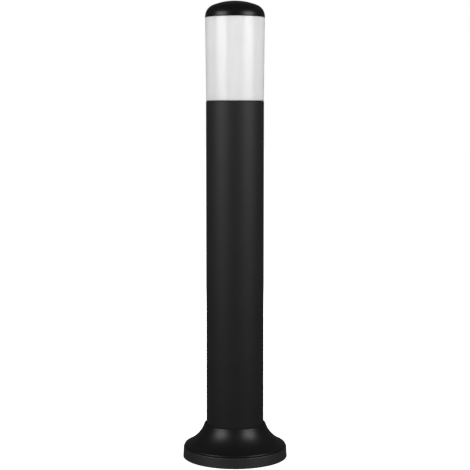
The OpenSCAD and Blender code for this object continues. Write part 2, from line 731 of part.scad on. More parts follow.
module led_chips() color("khaki") translate([0, 0, lamp_z + board_h + board_t])
    for (a = [0:36:324]) rotate(a) block([2.8, 2.8, 0.8], [chip_at, 0, 0]);

module lamp_globe() color("white", 0.9) translate([0, 0, lamp_z]) {
    low_a = -asin(globe_drop / lamp_r);
    low_in_a = -asin(globe_drop / globe_in_r);
    lathe(concat(arc([0, globe_c], lamp_r, low_a, 90, 22), arc([0, globe_c], globe_in_r, 90, low_in_a, 22)));
}

foot_plate();
inlet_grommet();
foot_screws();
post_tube();
head_casting();
head_screws();
gland_body();
gland_locknut();
gland_seal();
gland_nut();
gear_bracket();
bracket_screws();
terminal_block();
terminal_clamps();
terminal_screws();
block_screws();
earth_lug();
earth_screw();
wire_live();
wire_neutral();
wire_earth();
lampholder_body();
lampholder_shell();
lampholder_contacts();
holder_clamp_screws();
lampholder_screws();
contact_spring();
centre_contact();
diffuser_gasket();
diffuser();
reflector_plate();
reflector_screws();
base_cover();
neck_seal();
cap_seal();
cap();
lamp_tip();
lamp_shell();
lamp_insulator();
lamp_housing();
led_board();
led_chips();
lamp_globe();
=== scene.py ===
"""A bollard light: the looks of every piece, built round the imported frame.

Lengths are metres, +Z is up and the origin is the centre of the foot's underside. Round pieces are
outlines of (radius, height) turned about the post's axis, and wires and springs are circles carried along
a path. Each finish is a node material on Object coordinates; only the earth wire's stripes follow a UV map.
"""

from __future__ import annotations

import json
import logging
import math
from dataclasses import dataclass, field
from enum import Enum
from typing import Callable, Dict, List, Optional, Sequence, Tuple, Union

import bpy
import numpy as np
from mathutils.geometry import tessellate_polygon
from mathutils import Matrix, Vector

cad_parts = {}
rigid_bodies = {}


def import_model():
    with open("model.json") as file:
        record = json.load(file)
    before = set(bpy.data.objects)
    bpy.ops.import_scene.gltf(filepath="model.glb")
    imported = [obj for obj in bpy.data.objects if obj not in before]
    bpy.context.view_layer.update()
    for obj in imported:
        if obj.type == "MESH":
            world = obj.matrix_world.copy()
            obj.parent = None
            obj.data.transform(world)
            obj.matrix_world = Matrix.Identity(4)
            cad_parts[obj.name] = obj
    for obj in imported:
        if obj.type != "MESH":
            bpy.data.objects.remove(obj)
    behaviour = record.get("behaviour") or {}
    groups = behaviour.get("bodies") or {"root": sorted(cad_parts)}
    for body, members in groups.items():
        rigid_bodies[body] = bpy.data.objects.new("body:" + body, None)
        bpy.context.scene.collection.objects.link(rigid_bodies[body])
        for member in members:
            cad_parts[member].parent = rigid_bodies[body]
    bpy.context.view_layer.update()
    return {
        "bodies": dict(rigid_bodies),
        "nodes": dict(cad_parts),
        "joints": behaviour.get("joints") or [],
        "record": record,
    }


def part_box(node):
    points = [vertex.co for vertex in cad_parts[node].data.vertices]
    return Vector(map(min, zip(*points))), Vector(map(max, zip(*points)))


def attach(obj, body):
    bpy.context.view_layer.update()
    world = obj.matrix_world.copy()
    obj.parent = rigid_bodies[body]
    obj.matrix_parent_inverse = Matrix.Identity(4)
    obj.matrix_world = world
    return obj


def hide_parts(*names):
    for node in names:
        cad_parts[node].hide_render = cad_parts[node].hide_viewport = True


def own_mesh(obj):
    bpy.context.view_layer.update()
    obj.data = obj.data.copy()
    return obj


LOG = logging.getLogger("bollard_light")
MM = 0.001
SEGMENTS, FINE, COARSE = 192, 256, 96  # columns round a turned piece: usual, large and small ones
SHARP = math.radians(38)  # edges that bend more than this stay crisp
ON_AXIS = 1e-9  # a radius under this is a pole
PLAY = 0.05 * MM  # between a piece and the neighbour that it is measured from
NOISE_LOW, NOISE_HIGH = 0.3, 0.7  # noise mostly stays between these

Colour = Tuple[float, float, float]
Route = Tuple[Tuple[float, float, float], ...]
Points = Sequence[Tuple[float, float]]
Relief = Callable[[np.ndarray, np.ndarray, np.ndarray], np.ndarray]
SocketValue = Union[float, Tuple[float, ...]]
Socket = bpy.types.NodeSocket


class Body(Enum):
    """The moving groups that a piece can ride on."""

    POST = "post"
    COVER = "cover"
    CAP_CARRIER = "cap_carrier"
    CAP = "cap"
    LAMP_CARRIER = "lamp_carrier"
    LAMP = "lamp"
    CONTACT = "centre_contact"


# ---------------------------------------------------------------------------------------------
# Surfaces
# ---------------------------------------------------------------------------------------------


@dataclass
class Surface:
    """A mesh as arrays: its points, its faces and how far along and round each point lies."""

    points: np.ndarray
    quads: np.ndarray = field(default_factory=lambda: np.zeros((0, 4), int))
    tris: np.ndarray = field(default_factory=lambda: np.zeros((0, 3), int))
    place: Optional[np.ndarray] = None

    def __add__(self, other: "Surface") -> "Surface":
        """Both surfaces as one."""
        shift = len(self.points)
        return Surface(
            np.vstack([self.points, other.points]),
            np.vstack([self.quads, other.quads + shift]),
            np.vstack([self.tris, other.tris + shift]),
        )

    def mesh(self, name: str) -> bpy.types.Mesh:
        """Puts the arrays into a Blender mesh with smooth faces and sharp edges.

        Args:
            name: What the mesh is called.

        Returns:
            The mesh, with a UV map if the surface says how its points lie along it.
        """
        loops = np.concatenate([self.quads.ravel(), self.tris.ravel()]).astype(np.int32)
        sizes = np.concatenate([np.full(len(self.quads), 4), np.full(len(self.tris), 3)]).astype(np.int32)
        starts = np.concatenate([[0], np.cumsum(sizes)[:-1]]).astype(np.int32)
        mesh = bpy.data.meshes.new(name)
        mesh.vertices.add(len(self.points))
        mesh.vertices.foreach_set("co", self.points.astype(np.float32).ravel())
        mesh.loops.add(len(loops))
        mesh.loops.foreach_set("vertex_index", loops)
        mesh.polygons.add(len(sizes))
        mesh.polygons.foreach_set("loop_start", starts)
        mesh.polygons.foreach_set("loop_total", sizes)
        mesh.polygons.foreach_set("use_smooth", np.ones(len(sizes), bool))
        if self.place is not None:
            layer = mesh.uv_layers.new(name="along")
            layer.data.foreach_set("uv", self.place[loops].astype(np.float32).ravel())
        mesh.update(calc_edges=True)
        mesh.validate()
        mesh.set_sharp_from_angle(angle=SHARP)
        return mesh


def skin(rings: np.ndarray, joined: bool, start_pole: bool = False, end_pole: bool = False) -> Surface:
    """Faces between rings of points, row by row and round each row.

    Args:
        rings: Points as rows x columns x 3; each row closes on itself.
        joined: True if the last row meets the first, as on a closed outline.
        start_pole: True if the first row is a single place.
        end_pole: True if the last row is a single place.

    Returns:
        The closed surface.
    """
    rows, columns = rings.shape[:2]
    index = np.arange(rows * columns).reshape(rows, columns)
    low, high = (index, np.roll(index, -1, axis=0)) if joined else (index[:-1], index[1:])
    quads = np.stack([low, np.roll(low, -1, axis=1), np.roll(high, -1, axis=1), high], axis=-1)
    points = rings.reshape(-1, 3)
    tris = np.zeros((0, 3), int)
    around, row = np.arange(columns), quads.reshape(-1, columns, 4)
    if start_pole:
        pole, first = np.full(columns, index[0, 0]), row[0]
        tris = np.vstack([tris, np.stack([pole, first[:, 2], first[:, 3]], axis=-1)])
        row = row[1:]
    if end_pole:
        pole, last = np.full(columns, index[-1, 0]), row[-1]
        tris = np.vstack([tris, np.stack([last[:, 0], last[:, 1], pole], axis=-1)])
        row = row[:-1]
    surface = Surface(points, row.reshape(-1, 4), tris)
    angle = np.broadcast_to(around / columns, (rows, columns))
    far = np.broadcast_to(np.arange(rows)[:, None] / max(rows - 1, 1), (rows, columns))
    surface.place = np.stack([angle, far], axis=-1).reshape(-1, 2)
    return without_spares(surface)


def without_spares(surface: Surface) -> Surface:
    """Drops the points that no face uses, as round a pole."""
    used = np.zeros(len(surface.points), bool)
    used[surface.quads.ravel()] = True
    used[surface.tris.ravel()] = True
    renumber = np.cumsum(used) - 1
    place = None if surface.place is None else surface.place[used]
    return Surface(surface.points[used], renumber[surface.quads], renumber[surface.tris], place)


def turned(outline: np.ndarray, relief: Optional[Relief] = None, segments: int = SEGMENTS) -> Surface:
    """An outline turned about the Z axis: x = r cos a, y = r sin a, z = h.

    Args:
        outline: Points of (radius, height). One that starts and ends on the axis closes at its
            poles, and any other closes on itself.
        relief: Adds a function of (angle, radius, height) to the radius, as a thread does.
        segments: How many columns go round.

    Returns:
        The closed surface, facing outwards.
    """
    r, z = outline[:, 0], outline[:, 1]
    area = np.sum(r * np.roll(z, -1) - np.roll(r, -1) * z)
    if area < 0:
        outline = outline[::-1]
        r, z = outline[:, 0], outline[:, 1]
    angle = np.linspace(0, 2 * np.pi, segments, endpoint=False)[None, :]
    radius = np.repeat(r[:, None], segments, axis=1)
    height = np.repeat(z[:, None], segments, axis=1)
    if relief is not None:
        radius = radius + relief(angle, radius, height)
    rings = np.stack([radius * np.cos(angle), radius * np.sin(angle), height], axis=-1)
    poles = bool(r[0] < ON_AXIS and r[-1] < ON_AXIS)
    return skin(rings, joined=not poles, start_pole=poles, end_pole=poles)


def swept(path: np.ndarray, radius: float, aside: Sequence[float], sides: int = 16) -> Surface:
    """A circle carried along a path, closed at both ends.

    Each ring lies across the path's tangent t: one of its axes is t x aside, the other t x that. A
    smaller ring in the plane of each end keeps that end flat.

    Args:
        path: Points along the middle.
        radius: The circle's radius.
        aside: A direction that the path never runs along.
        sides: Points round the circle.

    Returns:
        The tube, with its place along the path as v.
    """
    tangent = np.gradient(path, axis=0)
    tangent /= np.linalg.norm(tangent, axis=1)[:, None]
    u = np.cross(tangent, np.asarray(aside, float))
    u /= np.linalg.norm(u, axis=1)[:, None]
    v = np.cross(tangent, u)
    angle = np.linspace(0, 2 * np.pi, sides, endpoint=False)
    circle = np.cos(angle)[None, :, None] * u[:, None, :] + np.sin(angle)[None, :, None] * v[:, None, :]
    within = 0.85
    shrink = np.concatenate([[0.0, within], np.ones(len(path)), [within, 0.0]])[:, None, None]
    middle = np.concatenate([path[:1], path[:1], path, path[-1:], path[-1:]])[:, None, :]
    circle = np.concatenate([circle[:1], circle[:1], circle, circle[-1:], circle[-1:]])
    return skin(middle + radius * shrink * circle, joined=False, start_pole=True, end_pole=True)


def smooth_path(corners: Sequence[Sequence[float]], steps: int = 10) -> np.ndarray:
    """A Catmull-Rom curve through every corner, with steps points between each two."""
    p = np.asarray(corners, float)
    before = np.vstack([p[:1], p[:-2]])
    after = np.vstack([p[2:], p[-1:]])
    b, c = p[:-1], p[1:]
    t = np.linspace(0, 1, steps, endpoint=False)[None, :, None]
    a, b, c, d = before[:, None], b[:, None], c[:, None], after[:, None]
    squared, cubed = 2 * a - 5 * b + 4 * c - d, 3 * b - a - 3 * c + d
    curve = 0.5 * (2 * b + (c - a) * t + squared * t**2 + cubed * t**3)
    return np.vstack([curve.reshape(-1, 3), p[-1:]])


def arc(centre: Tuple[float, float], radius: float, start: float, end: float, steps: int) -> np.ndarray:
    """Points of (radius, height) on a circle, from angle start to angle end in degrees."""
    a = np.radians(np.linspace(start, end, steps + 1))
    return np.stack([centre[0] + radius * np.cos(a), centre[1] + radius * np.sin(a)], axis=-1)


def quadratic(start: np.ndarray, corner: np.ndarray, end: np.ndarray, steps: int) -> np.ndarray:
    """The curve (1 - t)^2 start + 2 t (1 - t) corner + t^2 end, for t from 0 to 1."""
    t = np.linspace(0, 1, steps + 1)[:, None]
    return (1 - t) ** 2 * start + 2 * t * (1 - t) * corner + t**2 * end


def rounded(corners: Points, radius: Union[float, Sequence[float]], steps: int = 5) -> np.ndarray:
    """An outline whose corners are softened, each by a quadratic curve from side to side.

    The curve leaves each side at the corner's radius from it, cut to 0.45 of the shorter side. A
    holding point half a radius further on keeps the flat beside it flat.

    Args:
        corners: The closed outline's corners, or an open one's from pole to pole.
        radius: One radius for every corner, or one each; 0 leaves a corner sharp.
        steps: Points in each curve.

    Returns:
        The softened outline.
    """
    p = np.asarray(corners, float)
    before, after = np.roll(p, 1, axis=0) - p, np.roll(p, -1, axis=0) - p
    to_before, to_after = np.linalg.norm(before, axis=1), np.linalg.norm(after, axis=1)
    wanted = np.broadcast_to(np.asarray(radius, float), (len(p),))
    most, hold, most_hold = 0.45, 1.5, 0.49
    reach = np.minimum(wanted, most * np.minimum(to_before, to_after))[:, None]
    start = p + before / to_before[:, None] * reach
    end = p + after / to_after[:, None] * reach
    t = np.linspace(0, 1, steps)[None, :, None]
    curve = (1 - t) ** 2 * start[:, None] + 2 * t * (1 - t) * p[:, None] + t**2 * end[:, None]
    hold_in = p + before / to_before[:, None] * np.minimum(hold * reach, most_hold * to_before[:, None])
    hold_out = p + after / to_after[:, None] * np.minimum(hold * reach, most_hold * to_after[:, None])
    full = np.concatenate([hold_in[:, None], curve, hold_out[:, None]], axis=1)
    pieces = [full[i] if wanted[i] > 0 else p[i : i + 1] for i in range(len(p))]
    return np.concatenate(pieces)


def divided(outline: np.ndarray, step: float, low: float, high: float) -> np.ndarray:
    """An outline with points at most one step apart wherever it runs between two heights."""
    following = np.vstack([outline[1:], outline[-1:]])
    sides = following - outline
    under = np.minimum(outline[:, 1], following[:, 1]) < high
    over = np.maximum(outline[:, 1], following[:, 1]) > low
    wanted = np.maximum(np.ceil(np.linalg.norm(sides, axis=1) / step), 1)
    counts = np.where(under & over, wanted, 1).astype(int)
    counts[-1] = 1
    parts = [outline[i] + sides[i] * np.arange(n)[:, None] / n for i, n in enumerate(counts)]
    return np.vstack(parts)


def beside(line: np.ndarray, distance: float) -> np.ndarray:
    """A line moved to its left by a distance, square to its own direction."""
    direction = np.gradient(line, axis=0)
    direction /= np.linalg.norm(direction, axis=1)[:, None]
    return line + distance * np.stack([-direction[:, 1], direction[:, 0]], axis=-1)


def prism(outer: np.ndarray, inner: np.ndarray, low: float, high: float) -> Surface:
    """A hollow section drawn out along Z, with flat ends.

    Args:
        outer: The outside of the section, anticlockwise.
        inner: The inside of the section, anticlockwise.
        low: Height of the lower end.
        high: Height of the upper end.

    Returns:
        The closed surface.
    """
    walls = Surface(np.zeros((0, 3)))
    for line, levels in ((outer, (low, high)), (inner, (high, low))):
        ends = [np.column_stack([line, np.full(len(line), level)]) for level in levels]
        walls = walls + skin(np.stack(ends), joined=False)
    flat = [[(x, y, 0.0) for x, y in outer], [(x, y, 0.0) for x, y in inner]]
    tris = np.array(tessellate_polygon(flat))
    n, m = len(outer), len(inner)
    both = np.vstack([outer, inner])
    a, b, c = both[tris[:, 0]], both[tris[:, 1]], both[tris[:, 2]]
    turns = (b[:, 0] - a[:, 0]) * (c[:, 1] - a[:, 1]) - (b[:, 1] - a[:, 1]) * (c[:, 0] - a[:, 0])
    tris = np.where(turns[:, None] > 0, tris, tris[:, ::-1])
    at_low = np.concatenate([np.arange(n), 2 * n + m + np.arange(m)])
    at_high = np.concatenate([n + np.arange(n), 2 * n + np.arange(m)])
    return Surface(walls.points, walls.quads, np.vstack([at_low[tris[:, ::-1]], at_high[tris]]))


def thread(low: float, high: float, pitch: float, depth: float, near: float) -> Relief:
    """A screw thread: a rounded ridge that climbs one pitch a turn and fades at both ends.

    The ridge is depth times w to the power 1.5, where w = 0.5 + 0.5 cos(2 pi h / pitch - a). It runs out
    over 0.4 of a pitch.

    Args:
        low: Where the thread starts.
        high: Where it ends.
        pitch: Its rise in one turn.
        depth: How far it stands out; less than 0 for a thread that stands in.
        near: The radius of the threaded wall. Walls more than 1.2 mm from it stay plain.

    Returns:
        The function to add to a radius.
    """
    sharpness, run_out, wall = 1.5, 0.4 * pitch, 1.2 * MM

    def ridge(angle: np.ndarray, radius: np.ndarray, height: np.ndarray) -> np.ndarray:
        """The ridge's height at each point."""
        wave = 0.5 + 0.5 * np.cos(2 * np.pi * (height / pitch) - angle)
        fade = np.clip((height - low) / run_out, 0, 1) * np.clip((high - height) / run_out, 0, 1)
        return depth * wave**sharpness * fade * (np.abs(radius - near) < wall)

    return ridge


def six_sided(across: float, bevel_from: float, bevel_to: float) -> Relief:
    """Cuts a round bar to a hexagon: the radius is no more than the flat's, or than the end bevels'.

    Args:
        across: Half the distance across the flats.
        bevel_from: Height of the lower end.
        bevel_to: Height of the upper end.

    Returns:
        The function to add to a radius. It is 0 where the radius is already inside the flats.
    """
    bevel_start, bevel_slope = 1.1, 1.7

    def flats(angle: np.ndarray, radius: np.ndarray, height: np.ndarray) -> np.ndarray:
        """How much each point moves in."""
        within = (angle + np.pi / 6) % (np.pi / 3) - np.pi / 6
        limit = across / np.cos(within)
        bevel = across * bevel_start + bevel_slope * np.minimum(height - bevel_from, bevel_to - height)
        return np.minimum(radius, np.minimum(limit, bevel)) - radius

    return flats


def ribs(count: int, depth: float, beyond: float) -> Relief:
    """Shallow grip grooves where cos(count a) > 0.3, on a moulding's walls beyond a radius."""
    groove = 0.3
    return lambda angle, radius, height: -depth * (np.cos(count * angle) > groove) * (radius > beyond)


# ---------------------------------------------------------------------------------------------
# Finishes
# ---------------------------------------------------------------------------------------------


class Shader:
    """A material's node tree, with short ways to add and join its nodes."""

    def __init__(self, name: str) -> None:
        """Starts a material with one Principled shader."""
        self.material = bpy.data.materials.new(name)
        self.material.use_nodes = True
        self.tree = self.material.node_tree
        self.surface = self.tree.nodes["Principled BSDF"]
        self.place = self.tree.nodes.new("ShaderNodeTexCoord").outputs["Object"]

    def put(self, **values: SocketValue) -> None:
        """Sets the shader's own sockets; an underscore in a name stands for a space."""
        for name, value in values.items():
            socket = self.surface.inputs[name.replace("_", " ")]
            socket.default_value = (*value, 1.0) if isinstance(value, tuple) and len(value) == 3 else value

    def stretched(self, x: float, y: float, z: float) -> Socket:
        """Object coordinates, scaled differently along each axis."""
        node = self.tree.nodes.new("ShaderNodeMapping")
        node.inputs["Scale"].default_value = (x, y, z)
        self.tree.links.new(self.place, node.inputs["Vector"])
        return node.outputs["Vector"]

    def noise(self, size: float, detail: float = 3.0, where: Optional[Socket] = None) -> Socket:
        """Cloudy noise whose blotches are about size metres across."""
        node = self.tree.nodes.new("ShaderNodeTexNoise")
        node.inputs["Scale"].default_value = 1.0 / size
        node.inputs["Detail"].default_value = detail
        self.tree.links.new(where or self.place, node.inputs["Vector"])
        return node.outputs["Fac"]

    def spread(self, value: Socket, low: float, high: float) -> Socket:
        """Maps noise, which stays near a half, to run from low to high."""
        return self.mapped(value, (NOISE_LOW, NOISE_HIGH), (low, high))

    def mapped(self, value: Socket, before: Tuple[float, float], after: Tuple[float, float]) -> Socket:
        """Maps one range of a value onto another, and holds it at both ends."""
        node = self.tree.nodes.new("ShaderNodeMapRange")
        for socket, number in zip(("From Min", "From Max", "To Min", "To Max"), (*before, *after)):
            node.inputs[socket].default_value = number
        self.tree.links.new(value, node.inputs["Value"])
        return node.outputs["Result"]

    def colours(self, value: Socket, stops: Sequence[Tuple[float, Colour]]) -> Socket:
        """Turns a value into a colour by way of a ramp."""
        node = self.tree.nodes.new("ShaderNodeValToRGB")
        ramp = node.color_ramp
        while len(ramp.elements) < len(stops):
            ramp.elements.new(0.5)
        for element, (at, colour) in zip(ramp.elements, stops):
            element.position = at
            element.color = (*colour, 1.0)
        self.tree.links.new(value, node.inputs["Fac"])
        return node.outputs["Color"]

    def clouded(self, colour: Colour, size: float, darkest: float, lightest: float = 1.0) -> Socket:
        """A colour in blotches about size metres across, from a darker shade of it to a lighter one."""
        shades = [(NOISE_LOW, shade(colour, darkest)), (NOISE_HIGH, shade(colour, lightest))]
        return self.colours(self.noise(size), shades)

    def height(self, low: float, high: float) -> Socket:
        """How far up a point lies, from 0 at the low level to 1 at the high one."""
        split = self.tree.nodes.new("ShaderNodeSeparateXYZ")
        self.tree.links.new(self.place, split.inputs["Vector"])
        return self.mapped(split.outputs["Z"], (low, high), (0.0, 1.0))

    def times(self, one: Socket, other: Socket) -> Socket:
        """The product of two colours."""
        node = self.tree.nodes.new("ShaderNodeVectorMath")
        node.operation = "MULTIPLY"
        self.tree.links.new(one, node.inputs[0])
        self.tree.links.new(other, node.inputs[1])
        return node.outputs["Vector"]

    def join(self, value: Socket, socket: str) -> None:
        """Drives one of the shader's sockets."""
        self.tree.links.new(value, self.surface.inputs[socket])

    def bump(self, heights: Sequence[Tuple[Socket, float]]) -> None:
        """Adds relief to the normal, one layer over another, each as (height, depth in metres)."""
        last: Optional[Socket] = None
        for height, depth in heights:
            node = self.tree.nodes.new("ShaderNodeBump")
            node.inputs["Strength"].default_value = 1.0
            node.inputs["Distance"].default_value = depth
            self.tree.links.new(height, node.inputs["Height"])
            if last is not None:
                self.tree.links.new(last, node.inputs["Normal"])
            last = node.outputs["Normal"]
        if last is not None:
            self.join(last, "Normal")


def shade(colour: Colour, by: float) -> Colour:
    """A colour made lighter or darker by a factor."""
    return (min(colour[0] * by, 1.0), min(colour[1] * by, 1.0), min(colour[2] * by, 1.0))


@dataclass(frozen=True)
class PowderCoat:
    """Baked powder paint: a fine orange peel over an even colour."""

    name: str
    colour: Colour
    roughness: float
    peel_size: float = 1.1 * MM
    peel_depth: float = 0.012 * MM
    gloss: float = 0.5
    wave_size: float = 5 * MM
    cloud_size: float = 60 * MM
    cloud_shades: Tuple[float, float] = (0.9, 1.12)
    speck_size: float = 1.6 * MM
    speck: float = 0.03

    def material(self) -> bpy.types.Material:
        """Peel in two sizes, faint clouding of colour and gloss."""
        shader = Shader(self.name)
        shader.join(shader.clouded(self.colour, self.cloud_size, *self.cloud_shades), "Base Color")
        specks = shader.noise(self.speck_size, 2.0)
        low, high = self.roughness - self.speck, self.roughness + self.speck
        shader.join(shader.spread(specks, low, high), "Roughness")
        peel, waves = shader.noise(self.peel_size, 1.0), shader.noise(self.wave_size, 0.0)
        shader.bump([(peel, self.peel_depth), (waves, self.peel_depth)])
        shader.put(Specular_IOR_Level=self.gloss)
        return shader.material


@dataclass(frozen=True)
class OpalPlastic:
    """Milky plastic that light soaks into, with a satin skin.

    Painted shade darkens its colour towards the two ends of a named node, if there is one; on the lens
    these are where it sits on the gasket and where the cap's skirt stands behind it.
    """

    name: str
    colour: Colour
    roughness: float
    depth: float
    gloss: float = 0.5
    dim_ends: str = ""
    # painted shade: the share of the colour kept, from the named node's foot (0) to its top (1)
    end_shares: Tuple[Tuple[float, float], ...] = ((0.0, 0.80), (0.02, 0.90), (0.06, 0.965), (0.25, 1.0),
        (0.7, 1.0), (0.85, 0.97), (0.93, 0.93), (1.0, 0.85))
    refraction: float = 1.49
    cloud_size: float = 35 * MM
    cloud_shade: float = 0.985
    patch_size: float = 9 * MM
    patch: float = 0.02
    skin_size: float = 2.5 * MM
    skin_depth: float = 0.004 * MM

    def material(self) -> bpy.types.Material:
        """Light spreads through the wall; the skin has faint moulding clouds; painted shade darkens the
        colour towards the named node's ends.
        """
        shader = Shader(self.name)
        colour = shader.clouded(self.colour, self.cloud_size, self.cloud_shade)
        # painted shade: the colour is multiplied down towards both ends of the named node
        if self.dim_ends:
            low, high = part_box(self.dim_ends)
            painted_shade = [(at, (share, share, share)) for at, share in self.end_shares]
            colour = shader.times(colour, shader.colours(shader.height(low.z, high.z), painted_shade))
        shader.join(colour, "Base Color")
        duller, glossier = self.roughness + self.patch, self.roughness - self.patch
        shader.join(shader.spread(shader.noise(self.patch_size), glossier, duller), "Roughness")
        shader.put(Subsurface_Weight=1.0, Subsurface_Scale=self.depth, IOR=self.refraction)
        shader.put(Specular_IOR_Level=self.gloss)
        shader.surface.inputs["Subsurface Radius"].default_value = (1.0, 1.0, 1.0)
        shader.bump([(shader.noise(self.skin_size, 1.0), self.skin_depth)])
        return shader.material


@dataclass(frozen=True)
class Metal:
    """Bare or plated metal with fine marks along one direction."""

    name: str
    colour: Colour
    roughness: float
    grain: Tuple[float, float, float] = (1.0, 1.0, 1.0)
    tarnish_size: float = 6 * MM
    tarnish_shade: float = 0.82
    line_size: float = 0.5 * MM
    line_depth: float = 0.006 * MM
    smoother: float = 0.08
    rougher: float = 0.1

    def material(self) -> bpy.types.Material:
        """Brushed grain in gloss and bump, with slight tarnish."""
        shader = Shader(self.name)
        shader.join(shader.clouded(self.colour, self.tarnish_size, self.tarnish_shade), "Base Color")
        lines = shader.noise(self.line_size, 2.0, shader.stretched(*self.grain))
        low, high = self.roughness - self.smoother, self.roughness + self.rougher
        shader.join(shader.spread(lines, low, high), "Roughness")
        shader.bump([(lines, self.line_depth)])
        shader.put(Metallic=1.0)
        return shader.material


@dataclass(frozen=True)
class Moulded:
    """Plain moulded plastic, rubber or glaze."""

    name: str
    colour: Colour
    roughness: float
    texture_size: float = 0.8 * MM
    texture_depth: float = 0.01 * MM
    coat: float = 0.0
    coat_roughness: float = 0.08
    cloud_size: float = 12 * MM
    cloud_shades: Tuple[float, float] = (0.9, 1.05)
    speck_size: float = 2 * MM
    speck: float = 0.04

    def material(self) -> bpy.types.Material:
        """A fine mould texture, clouding, and a clear glaze where there is one."""
        shader = Shader(self.name)
        shader.join(shader.clouded(self.colour, self.cloud_size, *self.cloud_shades), "Base Color")
        specks = shader.noise(self.speck_size)
        low, high = self.roughness - self.speck, self.roughness + self.speck
        shader.join(shader.spread(specks, low, high), "Roughness")
        shader.bump([(shader.noise(self.texture_size, 2.0), self.texture_depth)])
        shader.put(Coat_Weight=self.coat, Coat_Roughness=self.coat_roughness)
        return shader.material


@dataclass(frozen=True)
class Striped:
    """Earth insulation: two colours in stripes along the wire."""

    name: str
    colour: Colour
    stripe: Colour
    bands: float = 0.65
    edge: Tuple[float, float] = (0.49, 0.51)
    speck_size: float = 2 * MM
    roughness: Tuple[float, float] = (0.36, 0.44)

    def material(self) -> bpy.types.Material:
        """The stripes follow the wire's own UV map, side by side round it."""
        shader = Shader(self.name)
        uv = shader.tree.nodes.new("ShaderNodeUVMap")
        uv.uv_map = "along"
        wave = shader.tree.nodes.new("ShaderNodeTexWave")
        wave.bands_direction = "X"
        wave.inputs["Scale"].default_value = self.bands
        wave.inputs["Distortion"].default_value = 0.0
        shader.tree.links.new(uv.outputs["UV"], wave.inputs["Vector"])
        stops = list(zip(self.edge, (self.colour, self.stripe)))
        shader.join(shader.colours(wave.outputs["Fac"], stops), "Base Color")
        shader.join(shader.spread(shader.noise(self.speck_size), *self.roughness), "Roughness")
        return shader.material


@dataclass(frozen=True)
class Finishes:
    """Every finish on the light, by the record's slot."""

    black_post: PowderCoat = PowderCoat("black_post", (0.0112, 0.0112, 0.0114), 0.54, gloss=0.28)
    black_casting: PowderCoat = PowderCoat("black_casting", (0.005, 0.005, 0.0053), 0.5, gloss=0.95)
    black_cover: PowderCoat = PowderCoat("black_cover", (0.0045, 0.0045, 0.0047), 0.38, gloss=0.28)
    black_cap: PowderCoat = PowderCoat(
        "black_cap", (0.004, 0.004, 0.0043), 0.32, peel_depth=0.006 * MM, gloss=0.23)
    # the lens carries painted shade towards its foot and its top
    opal_lens: OpalPlastic = OpalPlastic(
        "opal_lens", (0.94, 0.94, 0.94), 0.24, 6 * MM, gloss=0.36, dim_ends="diffuser")
    opal_globe: OpalPlastic = OpalPlastic("opal_globe", (0.90, 0.90, 0.88), 0.4, 3 * MM)
    white_sheet: PowderCoat = PowderCoat("white_sheet", (0.84, 0.84, 0.83), 0.4)
    white_plastic: Moulded = Moulded("white_plastic", (0.84, 0.84, 0.82), 0.33)
    black_glass: Moulded = Moulded("black_glass", (0.012, 0.012, 0.013), 0.12, coat=0.6)
    phosphor: Moulded = Moulded("phosphor", (0.83, 0.62, 0.12), 0.5)
    seal_rubber: Moulded = Moulded("seal_rubber", (0.014, 0.014, 0.014), 0.62, texture_depth=0.02 * MM)
    gland_plastic: Moulded = Moulded("gland_plastic", (0.035, 0.036, 0.038), 0.45)
    terminal_plastic: Moulded = Moulded("terminal_plastic", (0.80, 0.77, 0.68), 0.42)
    porcelain: Moulded = Moulded("porcelain", (0.82, 0.80, 0.75), 0.3, texture_size=4 * MM, coat=0.8)
    wire_brown: Moulded = Moulded("wire_brown", (0.12, 0.045, 0.02), 0.4)
    wire_blue: Moulded = Moulded("wire_blue", (0.02, 0.09, 0.42), 0.4)
    wire_green: Striped = Striped("wire_green", (0.05, 0.24, 0.03), (0.75, 0.6, 0.03))
    stainless: Metal = Metal("stainless", (0.60, 0.59, 0.57), 0.3, (1.0, 1.0, 0.2))
    zinc_sheet: Metal = Metal("zinc_sheet", (0.62, 0.63, 0.64), 0.36, (0.15, 1.0, 1.0))
    nickel_shell: Metal = Metal("nickel_shell", (0.70, 0.68, 0.63), 0.2, (0.2, 0.2, 1.0))
    spring_steel: Metal = Metal("spring_steel", (0.52, 0.52, 0.53), 0.28)
    solder_tip: Metal = Metal("solder_tip", (0.60, 0.60, 0.58), 0.42)
    tinned_copper: Metal = Metal("tinned_copper", (0.66, 0.62, 0.56), 0.3)
    brass_parts: Metal = Metal("brass_parts", (0.76, 0.56, 0.22), 0.28, (1.0, 1.0, 0.3))


